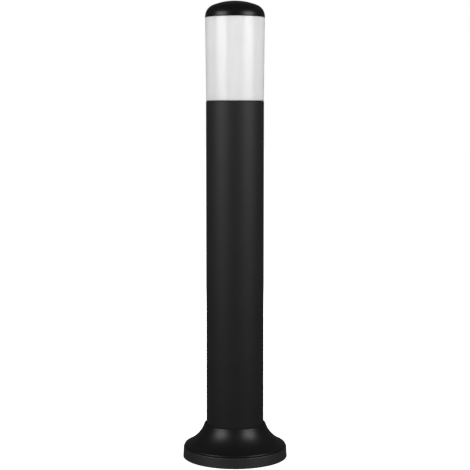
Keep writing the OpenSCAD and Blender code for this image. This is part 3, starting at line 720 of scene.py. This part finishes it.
class Workshop:
    """Makes finished pieces: puts a surface in the scene, dresses it and hangs it on its body."""

    def __init__(self, frame: Dict) -> None:
        """Makes one material for each of the record's slots.
        """
        self.nodes: Dict[str, bpy.types.Object] = frame["nodes"]
        self.joints: List[Dict] = frame["record"]["behaviour"]["joints"]
        finishes = Finishes()
        self.slots = {s["node"]: s["material_slot"] for s in frame["record"]["subparts"]}
        slots = sorted(set(self.slots.values()))
        self.materials = {slot: getattr(finishes, slot).material() for slot in slots}
        self.materials_like = {"head_casting": "black_post"}  # only the flange shows, as one with the post
        self.replaced: List[str] = []

    def travel(self, joint: str) -> float:
        """How far a sliding joint goes from rest, in metres."""
        return max(abs(limit) for j in self.joints if j["name"] == joint for limit in j["range_m"])

    def piece(self, node: str, surface: Surface, body: Body) -> bpy.types.Object:
        """Adds a piece that stands for a CAD node.

        Args:
            node: The node it replaces, whose slot it takes.
            surface: Its shape, in place.
            body: What it moves with.

        Returns:
            The finished object.
        """
        name = f"{node}_skin"
        made = bpy.data.objects.new(name, surface.mesh(name))
        bpy.context.scene.collection.objects.link(made)
        made.data.materials.append(self.materials[self.slots[node]])
        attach(made, body.value)
        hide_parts(node)
        self.replaced.append(node)
        LOG.info("piece %s: %d points on %s", name, len(surface.points), body.value)
        return made

    def dress(self) -> None:
        """Gives every CAD node that still shows its finish."""
        for node, obj in sorted(self.nodes.items()):
            if node in self.replaced:
                continue
            finish = self.materials_like.get(node, self.slots[node])
            obj.data.materials.clear()
            obj.data.materials.append(self.materials[finish])
            LOG.info("node %s: dressed in %s", node, finish)


@dataclass(frozen=True)
class Span:
    """Where a round CAD node stands: its outer radius and its lowest and highest level."""

    radius: float
    low: float
    high: float

    @classmethod
    def of(cls, node: str) -> "Span":
        """Measures a node of the frame."""
        low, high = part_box(node)
        return cls((high.x - low.x) / 2, low.z, high.z)

    def ring(self, hole: float) -> Points:
        """The corners of a plain ring that fills the span round a hole of that radius."""
        return [(hole, self.low), (self.radius, self.low), (self.radius, self.high), (hole, self.high)]


# ---------------------------------------------------------------------------------------------
# Sub-assemblies
# ---------------------------------------------------------------------------------------------


@dataclass
class Post:
    """The extruded tube with its three screw ports, and the foot's cable grommet."""

    wall: float = 2.5 * MM
    port_radius: float = 4.6 * MM
    port_bore: float = 2.6 * MM
    port_overlap: float = 1.2 * MM
    port_mouth: float = 2.4 * MM
    port_angles: Tuple[float, ...] = (90.0, 210.0, 330.0)
    port_steps: int = 16
    bore_steps: int = 28
    wall_steps: int = 40
    grommet_lip: float = 2.0 * MM
    grommet_depth: float = 5.0 * MM
    grommet_under: float = 1.1 * MM
    grommet_over: float = 1.6 * MM
    grommet_bevel: float = 1 * MM
    grommet_edge: float = 0.5 * MM

    def port(self, inner_radius: float, at: float) -> np.ndarray:
        """One screw port's outline, out from the wall, round the bore and back.

        Args:
            inner_radius: The tube's inside radius.
            at: The port's angle in degrees.

        Returns:
            Points of (x, y) from one side of the port to the other, anticlockwise about the axis.
        """
        centre = inner_radius - self.port_radius + self.port_overlap
        meet = (inner_radius**2 - centre**2 - self.port_radius**2) / (2 * centre)
        outside = math.degrees(math.acos(meet / self.port_radius))
        mouth_out = math.degrees(math.asin(self.port_mouth / 2 / self.port_radius))
        mouth_in = math.degrees(math.asin(self.port_mouth / 2 / self.port_bore))
        lower = arc((centre, 0.0), self.port_radius, -outside, -180 + mouth_out, self.port_steps)
        bore = arc((centre, 0.0), self.port_bore, -180 + mouth_in, 180 - mouth_in, self.bore_steps)
        upper = arc((centre, 0.0), self.port_radius, 180 - mouth_out, outside, self.port_steps)
        line = np.vstack([lower, bore, upper])
        turn = math.radians(at)
        spin = np.array([[math.cos(turn), math.sin(turn)], [-math.sin(turn), math.cos(turn)]])
        return line @ spin

    def section(self, radius: float) -> Tuple[np.ndarray, np.ndarray]:
        """The tube's outside circle and its inside line with the ports."""
        inner = radius - self.wall
        outline: List[np.ndarray] = []
        for at in self.port_angles:
            port = self.port(inner, at)
            outline.append(port)
            start = math.degrees(math.atan2(port[-1, 1], port[-1, 0])) % 360
            end = (2 * (at + 60) - start) % 360
            end = end if end > start else end + 360
            outline.append(arc((0.0, 0.0), inner, start, end, self.wall_steps)[1:-1])
        return arc((0.0, 0.0), radius, 0, 360, FINE)[:-1], np.vstack(outline)

    def build(self, shop: Workshop) -> None:
        """Makes the tube and the grommet."""
        tube = Span.of("post_tube")
        outer, inner = self.section(tube.radius)
        shop.piece("post_tube", prism(outer, inner, tube.low, tube.high), Body.POST)
        ring = Span.of("inlet_grommet")
        hole, waist = ring.radius - self.grommet_depth, ring.radius - self.grommet_lip - PLAY
        under, over = ring.low + self.grommet_under, ring.high - self.grommet_over
        corners = [(hole, ring.low), (ring.radius, ring.low), (ring.radius, under), (waist, under),
            (waist, over), (ring.radius, over), (ring.radius - self.grommet_bevel, ring.high),
            (hole, ring.high)]
        shop.piece("inlet_grommet", turned(rounded(corners, self.grommet_edge, 4)), Body.POST)


@dataclass
class Cover:
    """The flared cover that slides on the post, with the seal in its neck."""

    wall: float = 3 * MM
    shoulder_slope: float = 26.0
    neck_slope: float = 71.5
    riser: float = 5.2 * MM
    edge_round: float = 1.5 * MM
    shoulder_flat: float = 0.3 * MM
    collar: float = 11 * MM
    groove_height: float = 3 * MM
    groove_depth: float = 1.8 * MM
    groove_down: float = 8 * MM
    neck_wall: float = 2.8 * MM
    neck_drop: float = 1 * MM
    lip: float = 2 * MM
    foot_bevel: float = 0.3 * MM
    mouth: float = 0.8 * MM
    skirt: float = 2 * MM
    seal_ridge: float = 0.6 * MM
    seal_slope: float = 0.35 * MM
    seal_crest: float = 0.9 * MM
    seal_waist: float = 0.2 * MM
    seal_edge: float = 0.25 * MM

    def outside(self, edge: np.ndarray, top: np.ndarray) -> Tuple[np.ndarray, np.ndarray]:
        """The rounded edge, and the flare from the shoulder up to the neck.

        Args:
            edge: Where the riser and the shoulder would meet.
            top: Where the flare ends, just under the neck's lip.

        Returns:
            The edge's curve and the flare, both going up.
        """
        slopes = [math.radians(slope) for slope in (self.shoulder_slope, self.neck_slope)]
        shoulder, neck = (np.array([-math.cos(slope), math.sin(slope)]) for slope in slopes)
        start = edge + (self.edge_round + self.shoulder_flat) * shoulder
        gap = top - start
        across = shoulder[0] * neck[1] - shoulder[1] * neck[0]
        reach = (gap[0] * neck[1] - gap[1] * neck[0]) / across
        below = edge - np.array([0.0, self.edge_round])
        corner = quadratic(below, edge, edge + self.edge_round * shoulder, 8)
        return corner, quadratic(start, start + reach * shoulder, top, 44)

    def build(self, shop: Workshop) -> None:
        """Makes the cover and its neck seal."""
        span = Span.of("base_cover")
        seal = Span.of("neck_seal")
        groove_wall = seal.radius + PLAY
        bore = groove_wall - self.groove_depth
        neck = bore + self.neck_wall
        slope = math.radians(self.neck_slope)
        drop = self.lip * (1 - math.cos(slope))
        top = np.array([neck + (drop - self.neck_drop) / math.tan(slope), span.high - drop])
        corner, flare = self.outside(np.array([span.radius, span.low + self.riser]), top)
        inner = span.radius - self.wall
        foot = [(inner, span.low), (span.radius - self.foot_bevel, span.low),
            (span.radius, span.low + self.foot_bevel)]
        lip_at = (top[0] - self.lip * math.sin(slope), span.high - self.lip)
        lip = arc(lip_at, self.lip, 90 - self.neck_slope, 90, 10)[1:]
        mouth = arc((bore + self.mouth, span.high - self.mouth), self.mouth, 90, 180, 6)
        groove_z = span.high - self.groove_down
        collar_z = span.high - self.collar
        groove = [(bore, groove_z + self.groove_height), (groove_wall, groove_z + self.groove_height),
            (groove_wall, groove_z), (bore, groove_z), (bore, collar_z)]
        inside = beside(flare, self.wall)[::-1]
        inside = inside[(inside[:, 1] < collar_z - 1 * MM) & (inside[:, 0] < inner)
            & (inside[:, 1] > span.low + 1 * MM)]
        shelf = [(inside[0, 0], collar_z)]
        skirt = [(inner, span.low + self.skirt)]
        outline = np.vstack([foot, corner, flare, lip, mouth, groove, shelf, inside, skirt])
        shop.piece("base_cover", turned(outline, segments=FINE), Body.COVER)
        ridge = bore - self.seal_ridge
        end, waist = ridge + self.seal_slope, (ridge + self.seal_waist, (seal.low + seal.high) / 2)
        corners = [(end, seal.low), (seal.radius, seal.low), (seal.radius, seal.high), (end, seal.high),
            (ridge, seal.high - self.seal_crest), waist, (ridge, seal.low + self.seal_crest)]
        shop.piece("neck_seal", turned(rounded(corners, self.seal_edge, 4)), Body.COVER)


@dataclass
class Lens:
    """The opal lens, its gasket, and the thread in its mouth."""

    wall: float = 2.5 * MM
    lip_thickness: float = 2.6 * MM
    edge: float = 0.5 * MM
    thread_pitch: float = 4 * MM
    thread_depth: float = 0.42 * MM
    thread_length: float = 11 * MM
    thread_stop: float = 1 * MM
    thread_step: float = 0.35 * MM
    gasket_inset: float = 0.5 * MM
    gasket_edge: float = 0.35 * MM
    lip_width: float = 5.6 * MM
    lip_edges: Tuple[float, float, float] = (0.3 * MM, 1.2 * MM, 0.6 * MM)

    def build(self, shop: Workshop) -> None:
        """Makes the lens and the gasket under it."""
        span, gasket = Span.of("diffuser"), Span.of("diffuser_gasket")
        foot = gasket.radius + self.gasket_inset
        lip = foot - self.lip_width
        wall_top = span.radius - self.wall
        corners = [(lip, span.low), (foot, span.low), (span.radius, span.high), (wall_top, span.high),
            (foot - self.wall, span.low + self.lip_thickness), (lip, span.low + self.lip_thickness)]
        under, root, over = self.lip_edges
        outline = rounded(corners, [under, self.edge, self.edge, self.edge, root, over], 6)
        low, high = span.high - self.thread_length, span.high - self.thread_stop
        turns = thread(low, high, self.thread_pitch, -self.thread_depth, wall_top)
        outline = divided(outline, self.thread_step, low, high)
        shop.piece("diffuser", turned(outline, turns, FINE), Body.POST)
        shop.piece("diffuser_gasket", turned(rounded(gasket.ring(lip), self.gasket_edge, 4)), Body.POST)


@dataclass
class Cap:
    """The domed cap with its threaded skirt, and the seal under its rim."""

    corner: float = 21 * MM
    wall: float = 2.8 * MM
    rim: float = 0.2 * MM
    rim_edge: float = 0.35 * MM
    straight: float = 2 * MM
    skirt: float = 12 * MM
    skirt_wall: float = 2.6 * MM
    skirt_in: float = 3.8 * MM
    skirt_edges: Tuple[float, float, float] = (1.0 * MM, 0.5 * MM, 0.7 * MM)
    hollow: float = 3.4 * MM
    rim_high: float = 1.1 * MM
    rim_top: float = 1.4 * MM
    seat_gap: float = 0.1 * MM
    seal_gap: float = 0.2 * MM
    seal_edge: float = 0.4 * MM
    pitch: float = 4 * MM
    thread_depth: float = 0.42 * MM
    thread_start: float = 0.5 * MM
    thread_stop: float = 0.6 * MM
    thread_step: float = 0.35 * MM

    def dome(self, side: float, start: float, top: float) -> Tuple[np.ndarray, np.ndarray]:
        """The outside and inside of the dome: a corner arc that runs into a crown about the axis.

        Args:
            side: Radius of the dome's straight side.
            start: Height where the corner arc starts.
            top: Height of the crown.

        Returns:
            The outside line going up and the inside line coming down.
        """
        centre = (side - self.corner, start)
        rise = top - start
        crown = (centre[0] ** 2 + rise**2 - self.corner**2) / (2 * (rise - self.corner))
        join = math.degrees(math.atan2(start - (top - crown), centre[0]))
        middle = (0, top - crown)
        outside = np.vstack([arc(centre, self.corner, 0, join, 26), arc(middle, crown, join, 90, 26)[1:]])
        inside = np.vstack([arc(middle, crown - self.wall, 90, join, 20),
            arc(centre, self.corner - self.wall, join, 6, 18)[1:]])
        outside[-1, 0] = inside[0, 0] = 0.0
        return outside, inside

    def build(self, shop: Workshop) -> None:
        """Makes the cap and its seal."""
        span, seal = Span.of("cap"), Span.of("cap_seal")
        rim_z = span.low + self.skirt
        skirt = span.radius - self.skirt_in
        side = span.radius - self.rim
        outside, inside = self.dome(side, rim_z + self.straight, span.high)
        seat, seat_z = seal.radius + self.seat_gap, seal.high + PLAY
        rim = rounded([(seat, rim_z), (span.radius, rim_z), (span.radius, rim_z + self.rim_high),
            (side, rim_z + self.rim_top)], [0.0, self.rim_edge, self.rim_edge, 0.0], 6)
        bore = skirt - self.skirt_wall
        bottom = rounded([(bore, rim_z + self.hollow), (bore, span.low), (skirt, span.low), (skirt, seat_z),
            (seat, seat_z)], [*self.skirt_edges, 0.0, 0.0], 5)
        outline = np.vstack([inside, bottom, rim, outside])
        low, high = span.low + self.thread_start, rim_z - self.thread_stop
        outline = divided(outline, self.thread_step, low, high)
        turns = thread(low, high, self.pitch, self.thread_depth, skirt)
        shop.piece("cap", turned(outline, turns, FINE), Body.CAP)
        ring = rounded(seal.ring(skirt + self.seal_gap), self.seal_edge, 5)
        shop.piece("cap_seal", turned(ring), Body.CAP_CARRIER)


@dataclass
class Lamp:
    """The screw lamp: tip, insulator, threaded shell, housing and frosted globe."""

    pitch: float = 3.629 * MM
    thread_depth: float = 0.75 * MM
    shell_wall: float = 0.5 * MM
    globe_wall: float = 1.2 * MM
    housing_wall: float = 1.8 * MM
    segments: int = 160
    tip_corner: Tuple[float, float] = (3.4 * MM, 0.4 * MM)
    tip_round: float = 1.2 * MM
    glass_foot: float = 5.4 * MM
    glass_shoulder: Tuple[float, float] = (8.2 * MM, 0.9 * MM)
    shell_hole: float = 9 * MM
    shell_margin: float = 1.5 * MM
    neck: float = 14.0 * MM
    stub: float = 11.0 * MM
    flare_bend: float = 18.5 * MM

    def build(self, shop: Workshop) -> None:
        """Makes every round piece of the lamp."""
        self.build_base(shop)
        self.build_bulb(shop)

    def build_base(self, shop: Workshop) -> None:
        """The tip, the insulator and the threaded shell."""
        tip = Span.of("lamp_tip")
        across, down = self.tip_corner
        corner = arc((across, tip.high - down), self.tip_round, -42, 0, 6)[:-1]
        button = np.vstack([[(0.0, tip.low)], corner, [(tip.radius, tip.high), (0.0, tip.high)]])
        button[1:-2, 1] = np.maximum(button[1:-2, 1], tip.low)
        shop.piece("lamp_tip", turned(button, segments=COARSE), Body.LAMP_CARRIER)
        glass = Span.of("lamp_insulator")
        shoulder, up = self.glass_shoulder
        cone = [(0.0, glass.low), (self.glass_foot, glass.low), (shoulder, glass.low + up),
            (glass.radius, glass.high), (0.0, glass.high)]
        outline = rounded(cone, [0.0, 0.5 * MM, 1.2 * MM, 0.2 * MM, 0.0], 6)
        shop.piece("lamp_insulator", turned(outline, segments=COARSE), Body.LAMP)
        shell = Span.of("lamp_shell")
        root = shell.radius - self.thread_depth
        corners = [(self.shell_hole, shell.low), (root - 0.6 * MM, shell.low), (root, shell.low + 1 * MM),
            (root, shell.high), (root - self.shell_wall, shell.high),
            (root - self.shell_wall, shell.low + 1.2 * MM), (self.shell_hole, shell.low + 0.5 * MM)]
        low, high = shell.low + self.shell_margin, shell.high - self.shell_margin
        outline = divided(rounded(corners, 0.15 * MM, 3), 0.3 * MM, low, high)
        turns = thread(low, high, self.pitch, self.thread_depth, root)
        shop.piece("lamp_shell", turned(outline, turns), Body.LAMP)

    def build_bulb(self, shop: Workshop) -> None:
        """The housing and the globe that sits in it."""
        globe, body = Span.of("lamp_globe"), Span.of("lamp_housing")
        centre = globe.high - globe.radius
        opening = math.degrees(math.asin((centre - globe.low) / globe.radius))
        inside = globe.radius - self.globe_wall
        outside = arc((0.0, centre), globe.radius, -opening, 90, 44)
        back = arc((0.0, centre), inside, 90, -math.degrees(math.asin((centre - globe.low) / inside)), 44)
        outside[-1, 0] = back[0, 0] = 0.0
        globe_skin = turned(np.vstack([back, outside]), segments=self.segments)
        shop.piece("lamp_globe", globe_skin, Body.LAMP)
        shell = Span.of("lamp_shell")
        neck, stub = self.neck, self.stub
        start = np.array([neck + 0.4 * MM, shell.high + self.shell_margin])
        corner = np.array([neck + 1 * MM, body.high - self.flare_bend])
        flare = quadratic(start, corner, np.array([body.radius, body.high]), 29)
        inner = flare[-2:0:-1] - np.array([self.housing_wall, 0.0])
        sleeve = shell.radius - self.shell_wall - self.thread_depth - 0.1 * MM
        base = [(stub, body.low), (sleeve, body.low), (sleeve, shell.high), (neck, shell.high),
            (neck + 0.2 * MM, shell.high + 0.3 * MM)]
        rim, end = [(body.radius - 2.4 * MM, body.high)], [(stub, shell.high + 1 * MM)]
        outline = np.vstack([base, flare, rim, inner, end])
        shop.piece("lamp_housing", turned(outline, segments=self.segments), Body.LAMP)


@dataclass
class Holder:
    """The lampholder's threaded shell, sprung contact and wires.

    The wires' routes are in millimetres, from the axis at the level of the terminal block's underside.
    """

    shell_wall: float = 0.5 * MM
    pitch: float = 3.629 * MM
    thread_depth: float = 0.35 * MM
    spring_radius: float = 4.6 * MM
    spring_wire: float = 0.4 * MM
    spring_turns: int = 4
    shell_hole: float = 9 * MM
    shell_floor: float = 0.6 * MM
    thread_start: float = 1.5 * MM
    thread_stop: float = 0.5 * MM
    stem: float = 3.6 * MM
    flange: float = 1.6 * MM
    wire: float = 1.3 * MM
    live: Route = ((-9, 20, 6), (-9, 17, 6), (-8.4, 14.2, 7.5), (-7, 13.5, 12), (-6, 13.5, 18),
        (-6, 13.5, 24), (-6, 13.5, 33))
    neutral: Route = ((0, 20, 6), (0, 17, 6), (0.6, 14.2, 7.5), (3, 13.5, 12), (5.4, 13.5, 18),
        (6, 13.5, 24), (6, 13.5, 33))
    earth: Route = ((9, 20, 6), (9, 17, 6), (11, 13.5, 6.5), (16, 9, 8), (18, 0, 9), (18, -12, 8.5),
        (16, -22, 7), (12, -26.4, 5.9), (8, -27, 5.6), (5.6, -27, 5.6))

    def build(self, shop: Workshop) -> None:
        """Makes the shell, the contact, its spring and the three wires."""
        shell = Span.of("lampholder_shell")
        inner = shell.radius - self.shell_wall
        hole, floor = self.shell_hole, shell.low + self.shell_floor
        corners = [(hole, shell.low), (shell.radius, shell.low), (shell.radius, shell.high),
            (inner, shell.high), (inner, floor), (hole, floor)]
        high = shell.high - self.thread_stop
        outline = divided(rounded(corners, 0.12 * MM, 3), 0.3 * MM, shell.low + 1 * MM, high)
        turns = thread(shell.low + self.thread_start, high, self.pitch, -self.thread_depth, inner)
        shop.piece("lampholder_shell", turned(outline, turns), Body.POST)
        self.build_contact(shop)
        spring = Span.of("contact_spring")
        angle = np.linspace(0, 2 * np.pi * self.spring_turns, 40 * self.spring_turns)
        climb = spring.high - spring.low - 2 * self.spring_wire
        rise = spring.low + self.spring_wire + climb * angle / angle[-1]
        across = self.spring_radius * np.stack([np.cos(angle), np.sin(angle)], axis=-1)
        coil = np.column_stack([across, rise])
        piece = shop.piece("contact_spring", swept(coil, self.spring_wire, (0, 0, 1), 12), Body.POST)
        left = 1 - shop.travel("contact_press") / (spring.high - spring.low)
        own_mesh(piece)
        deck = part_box("terminal_block")[0].z
        sideways, upwards = (1, 0, 0), (0, 0, 1)
        wires = (("wire_live", self.live, sideways), ("wire_neutral", self.neutral, sideways),
            ("wire_earth", self.earth, upwards))
        for node, route, aside in wires:
            path = smooth_path(np.array(route) * MM + np.array([0, 0, deck]))
            shop.piece(node, swept(path, self.wire, aside, 20), Body.POST)

    def build_contact(self, shop: Workshop) -> None:
        """The sprung centre contact: a flanged button."""
        span = Span.of("centre_contact")
        stem, flange_z = self.stem, span.low + self.flange
        corners = [(0.0, span.low), (span.radius, span.low), (span.radius, flange_z), (stem, flange_z),
            (stem, span.high), (0.0, span.high)]
        outline = rounded(corners, [0.0, 0.3 * MM, 0.3 * MM, 0.4 * MM, 1.1 * MM, 0.0], 6)
        shop.piece("centre_contact", turned(outline, segments=COARSE), Body.CONTACT)


@dataclass
class Gland:
    """The cable gland in the head's floor: body, locknut, seal and dome nut."""

    thread_radius: float = 9.8 * MM
    way: float = 6.5 * MM
    pitch: float = 1.5 * MM
    neck: float = 10.8 * MM
    neck_play: float = 0.1 * MM
    hex_height: float = 3 * MM
    hex_drop: float = 1.4 * MM
    hex_from: float = 11.5 * MM
    lock_across: float = 13.0 * MM
    seat: float = 0.6 * MM
    segments: int = 180
    rib_count: int = 24
    rib_depth: float = 0.45 * MM
    rib_from: float = 12.5 * MM
    nut_radius: float = 12.8 * MM
    nut_bore: float = 11 * MM
    seal_bore: float = 5 * MM

    def build(self, shop: Workshop) -> None:
        """Makes the gland's four pieces."""
        body, nut, lock, seal = (Span.of(f"gland_{part}") for part in ("body", "nut", "locknut", "seal"))
        hexagon = body.radius * math.cos(math.pi / 6)
        hex_high = lock.low - self.hex_height
        hex_low = seal.high - self.hex_drop
        pocket, seat_z = seal.radius + self.neck_play, seal.high + self.seat
        corners = [(pocket, body.low), (self.neck, body.low), (self.neck, hex_low), (body.radius, hex_low),
            (body.radius, hex_high), (self.thread_radius, hex_high), (self.thread_radius, body.high),
            (self.way, body.high), (self.way, seat_z), (pocket, seat_z)]
        outline = divided(rounded(corners, 0.2 * MM, 3), 0.25 * MM, hex_low - 0.1 * MM, body.high)
        flats = six_sided(hexagon, hex_low, hex_high)
        screw = thread(hex_high, body.high, self.pitch, -0.4 * MM, self.thread_radius)
        both: Relief = lambda a, r, z: np.where(r > self.hex_from, flats(a, r, z), screw(a, r, z))
        shop.piece("gland_body", turned(outline, both, self.segments), Body.POST)
        ring = rounded(lock.ring(self.thread_radius + self.neck_play), 0.3 * MM, 4)
        outline = divided(ring, 0.4 * MM, lock.low, lock.high)
        lock_flats = six_sided(self.lock_across, lock.low, lock.high)
        shop.piece("gland_locknut", turned(outline, lock_flats, self.segments), Body.POST)
        self.build_nut(shop, nut, seal)

    def build_nut(self, shop: Workshop, nut: Span, seal: Span) -> None:
        """The ribbed dome nut and the rubber seal it squeezes.

        Args:
            shop: Where the pieces are made.
            nut: Where the nut stands.
            seal: Where the seal stands.
        """
        corners = [(self.way, nut.low), (10 * MM, nut.low), (12 * MM, nut.low + 3 * MM),
            (self.nut_radius, nut.low + 4 * MM), (self.nut_radius, nut.high), (self.nut_bore, nut.high),
            (self.nut_bore, seal.low), (self.way, seal.low)]
        radii = [0.6 * MM, 1 * MM, 1 * MM, 0.6 * MM, 0.5 * MM, 0.3 * MM, 0.0, 0.3 * MM]
        outline = divided(rounded(corners, radii, 4), 0.6 * MM, nut.low, nut.high)
        grip = ribs(self.rib_count, self.rib_depth, self.rib_from)
        shop.piece("gland_nut", turned(outline, grip, 10 * self.rib_count), Body.POST)
        ring = rounded(seal.ring(self.seal_bore), 0.6 * MM, 4)
        shop.piece("gland_seal", turned(ring, segments=COARSE), Body.POST)


# ---------------------------------------------------------------------------------------------
# Studio
# ---------------------------------------------------------------------------------------------


@dataclass
class Camera:
    """A long lens, about three quarters of the way up the light and tilted slightly down."""

    distance: float = 2.2253
    height: float = 0.6100
    tilt: float = 4.923
    lens: float = 97.582
    sensor: float = 36.0
    shift: float = -0.03

    def build(self) -> None:
        """Sets the scene's camera."""
        data = bpy.data.cameras.new("camera")
        data.lens, data.sensor_width, data.shift_y = self.lens, self.sensor, self.shift
        camera = bpy.data.objects.new("camera", data)
        camera.location = (0.0, -self.distance, self.height)
        camera.rotation_euler = (math.radians(90 - self.tilt), 0.0, 0.0)
        bpy.context.scene.collection.objects.link(camera)
        bpy.context.scene.camera = camera


@dataclass
class Studio:
    """A white floor and surround, two large softboxes in front and one straight behind.

    The rear one lights the back of the object but isn't mirrored in it.
    """

    floor_size: float = 40.0
    front_angle: float = 53.5
    front_distance: float = 1.6
    front_size: Tuple[float, float] = (1.1, 1.02)
    front_height: float = 1.12
    front_power: float = 26.0
    right_gain: float = 1.02
    rear_distance: float = 2.2
    rear_size: Tuple[float, float] = (1.1, 1.0)
    rear_height: float = 1.1
    rear_power: float = 36.0
    surround: float = 0.08
    glow_reach: Tuple[float, float] = (0.15, 1.1)
    glow: Tuple[float, float] = (0.72, 1.0)

    def build(self) -> None:
        """Makes the floor, the surround and the lights."""
        self.build_floor()
        self.build_surround()
        for side, gain in ((-1, 1.0), (1, self.right_gain)):
            self.softbox(f"front_{side}", side * self.front_angle, self.front_distance, self.front_height,
                self.front_size, gain * self.front_power)
        rear = self.softbox("rear", 180.0, self.rear_distance, self.rear_height, self.rear_size,
            self.rear_power)
        rear.visible_glossy = False
        bpy.context.scene.view_settings.view_transform = "Standard"

    def softbox(self, name: str, angle: float, distance: float, height: float, size: Tuple[float, float],
            power: float) -> bpy.types.Object:
        """Stands one area light round the object, level and facing it.

        Args:
            name: What the light is called.
            angle: Its direction from the front, in degrees.
            distance: How far away it is.
            height: The height of its middle.
            size: Its width and height.
            power: Its power in watts.

        Returns:
            The light.
        """
        data = bpy.data.lights.new(name, "AREA")
        data.shape, data.size, data.size_y, data.energy = "RECTANGLE", size[0], size[1], power
        light = bpy.data.objects.new(name, data)
        light.visible_camera = False
        turn = math.radians(angle)
        light.location = (distance * math.sin(turn), -distance * math.cos(turn), height)
        light.rotation_euler = (math.radians(90), 0.0, turn)
        bpy.context.scene.collection.objects.link(light)
        return light

    def build_floor(self) -> None:
        """A pale floor that glows more strongly away from the object and still takes its shadow."""
        half = self.floor_size / 2
        corners = np.array([[-half, -half, 0], [half, -half, 0], [half, half, 0], [-half, half, 0]])
        floor = bpy.data.objects.new("floor", Surface(corners, np.array([[0, 1, 2, 3]])).mesh("floor"))
        bpy.context.scene.collection.objects.link(floor)
        shader = Shader("floor")
        shader.put(Base_Color=(0.9, 0.9, 0.9), Roughness=0.9, Specular_IOR_Level=0.0)
        shader.put(Emission_Color=(1.0, 1.0, 1.0))
        length = shader.tree.nodes.new("ShaderNodeVectorMath")
        length.operation = "LENGTH"
        shader.tree.links.new(shader.place, length.inputs[0])
        fade = shader.mapped(length.outputs["Value"], self.glow_reach, self.glow)
        fade.node.interpolation_type = "SMOOTHSTEP"
        shader.join(fade, "Emission Strength")
        floor.data.materials.append(shader.material)
        floor.visible_glossy = False
        floor.visible_diffuse = False

    def build_surround(self) -> None:
        """White where the camera looks, and dim for the light it gives."""
        world = bpy.data.worlds.new("surround")
        world.use_nodes = True
        tree = world.node_tree
        bright = tree.nodes["Background"]
        bright.inputs["Color"].default_value = (1.0, 1.0, 1.0, 1.0)
        dim = tree.nodes.new("ShaderNodeBackground")
        dim.inputs["Color"].default_value = (1.0, 1.0, 1.0, 1.0)
        dim.inputs["Strength"].default_value = self.surround
        mix = tree.nodes.new("ShaderNodeMixShader")
        tree.links.new(tree.nodes.new("ShaderNodeLightPath").outputs["Is Camera Ray"], mix.inputs["Fac"])
        tree.links.new(dim.outputs["Background"], mix.inputs[1])
        tree.links.new(bright.outputs["Background"], mix.inputs[2])
        tree.links.new(mix.outputs["Shader"], tree.nodes["World Output"].inputs["Surface"])
        bpy.context.scene.world = world


def main() -> None:
    """Builds the light piece by piece."""
    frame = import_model()
    Camera().build()
    shop = Workshop(frame)
    for assembly in (Post(), Cover(), Lens(), Cap(), Lamp(), Holder(), Gland()):
        LOG.info("assembly %s", type(assembly).__name__)
        assembly.build(shop)
    shop.dress()
    Studio().build()


if __name__ == "__main__":
    logging.basicConfig(level=logging.INFO, format="%(name)s: %(message)s")
    main()
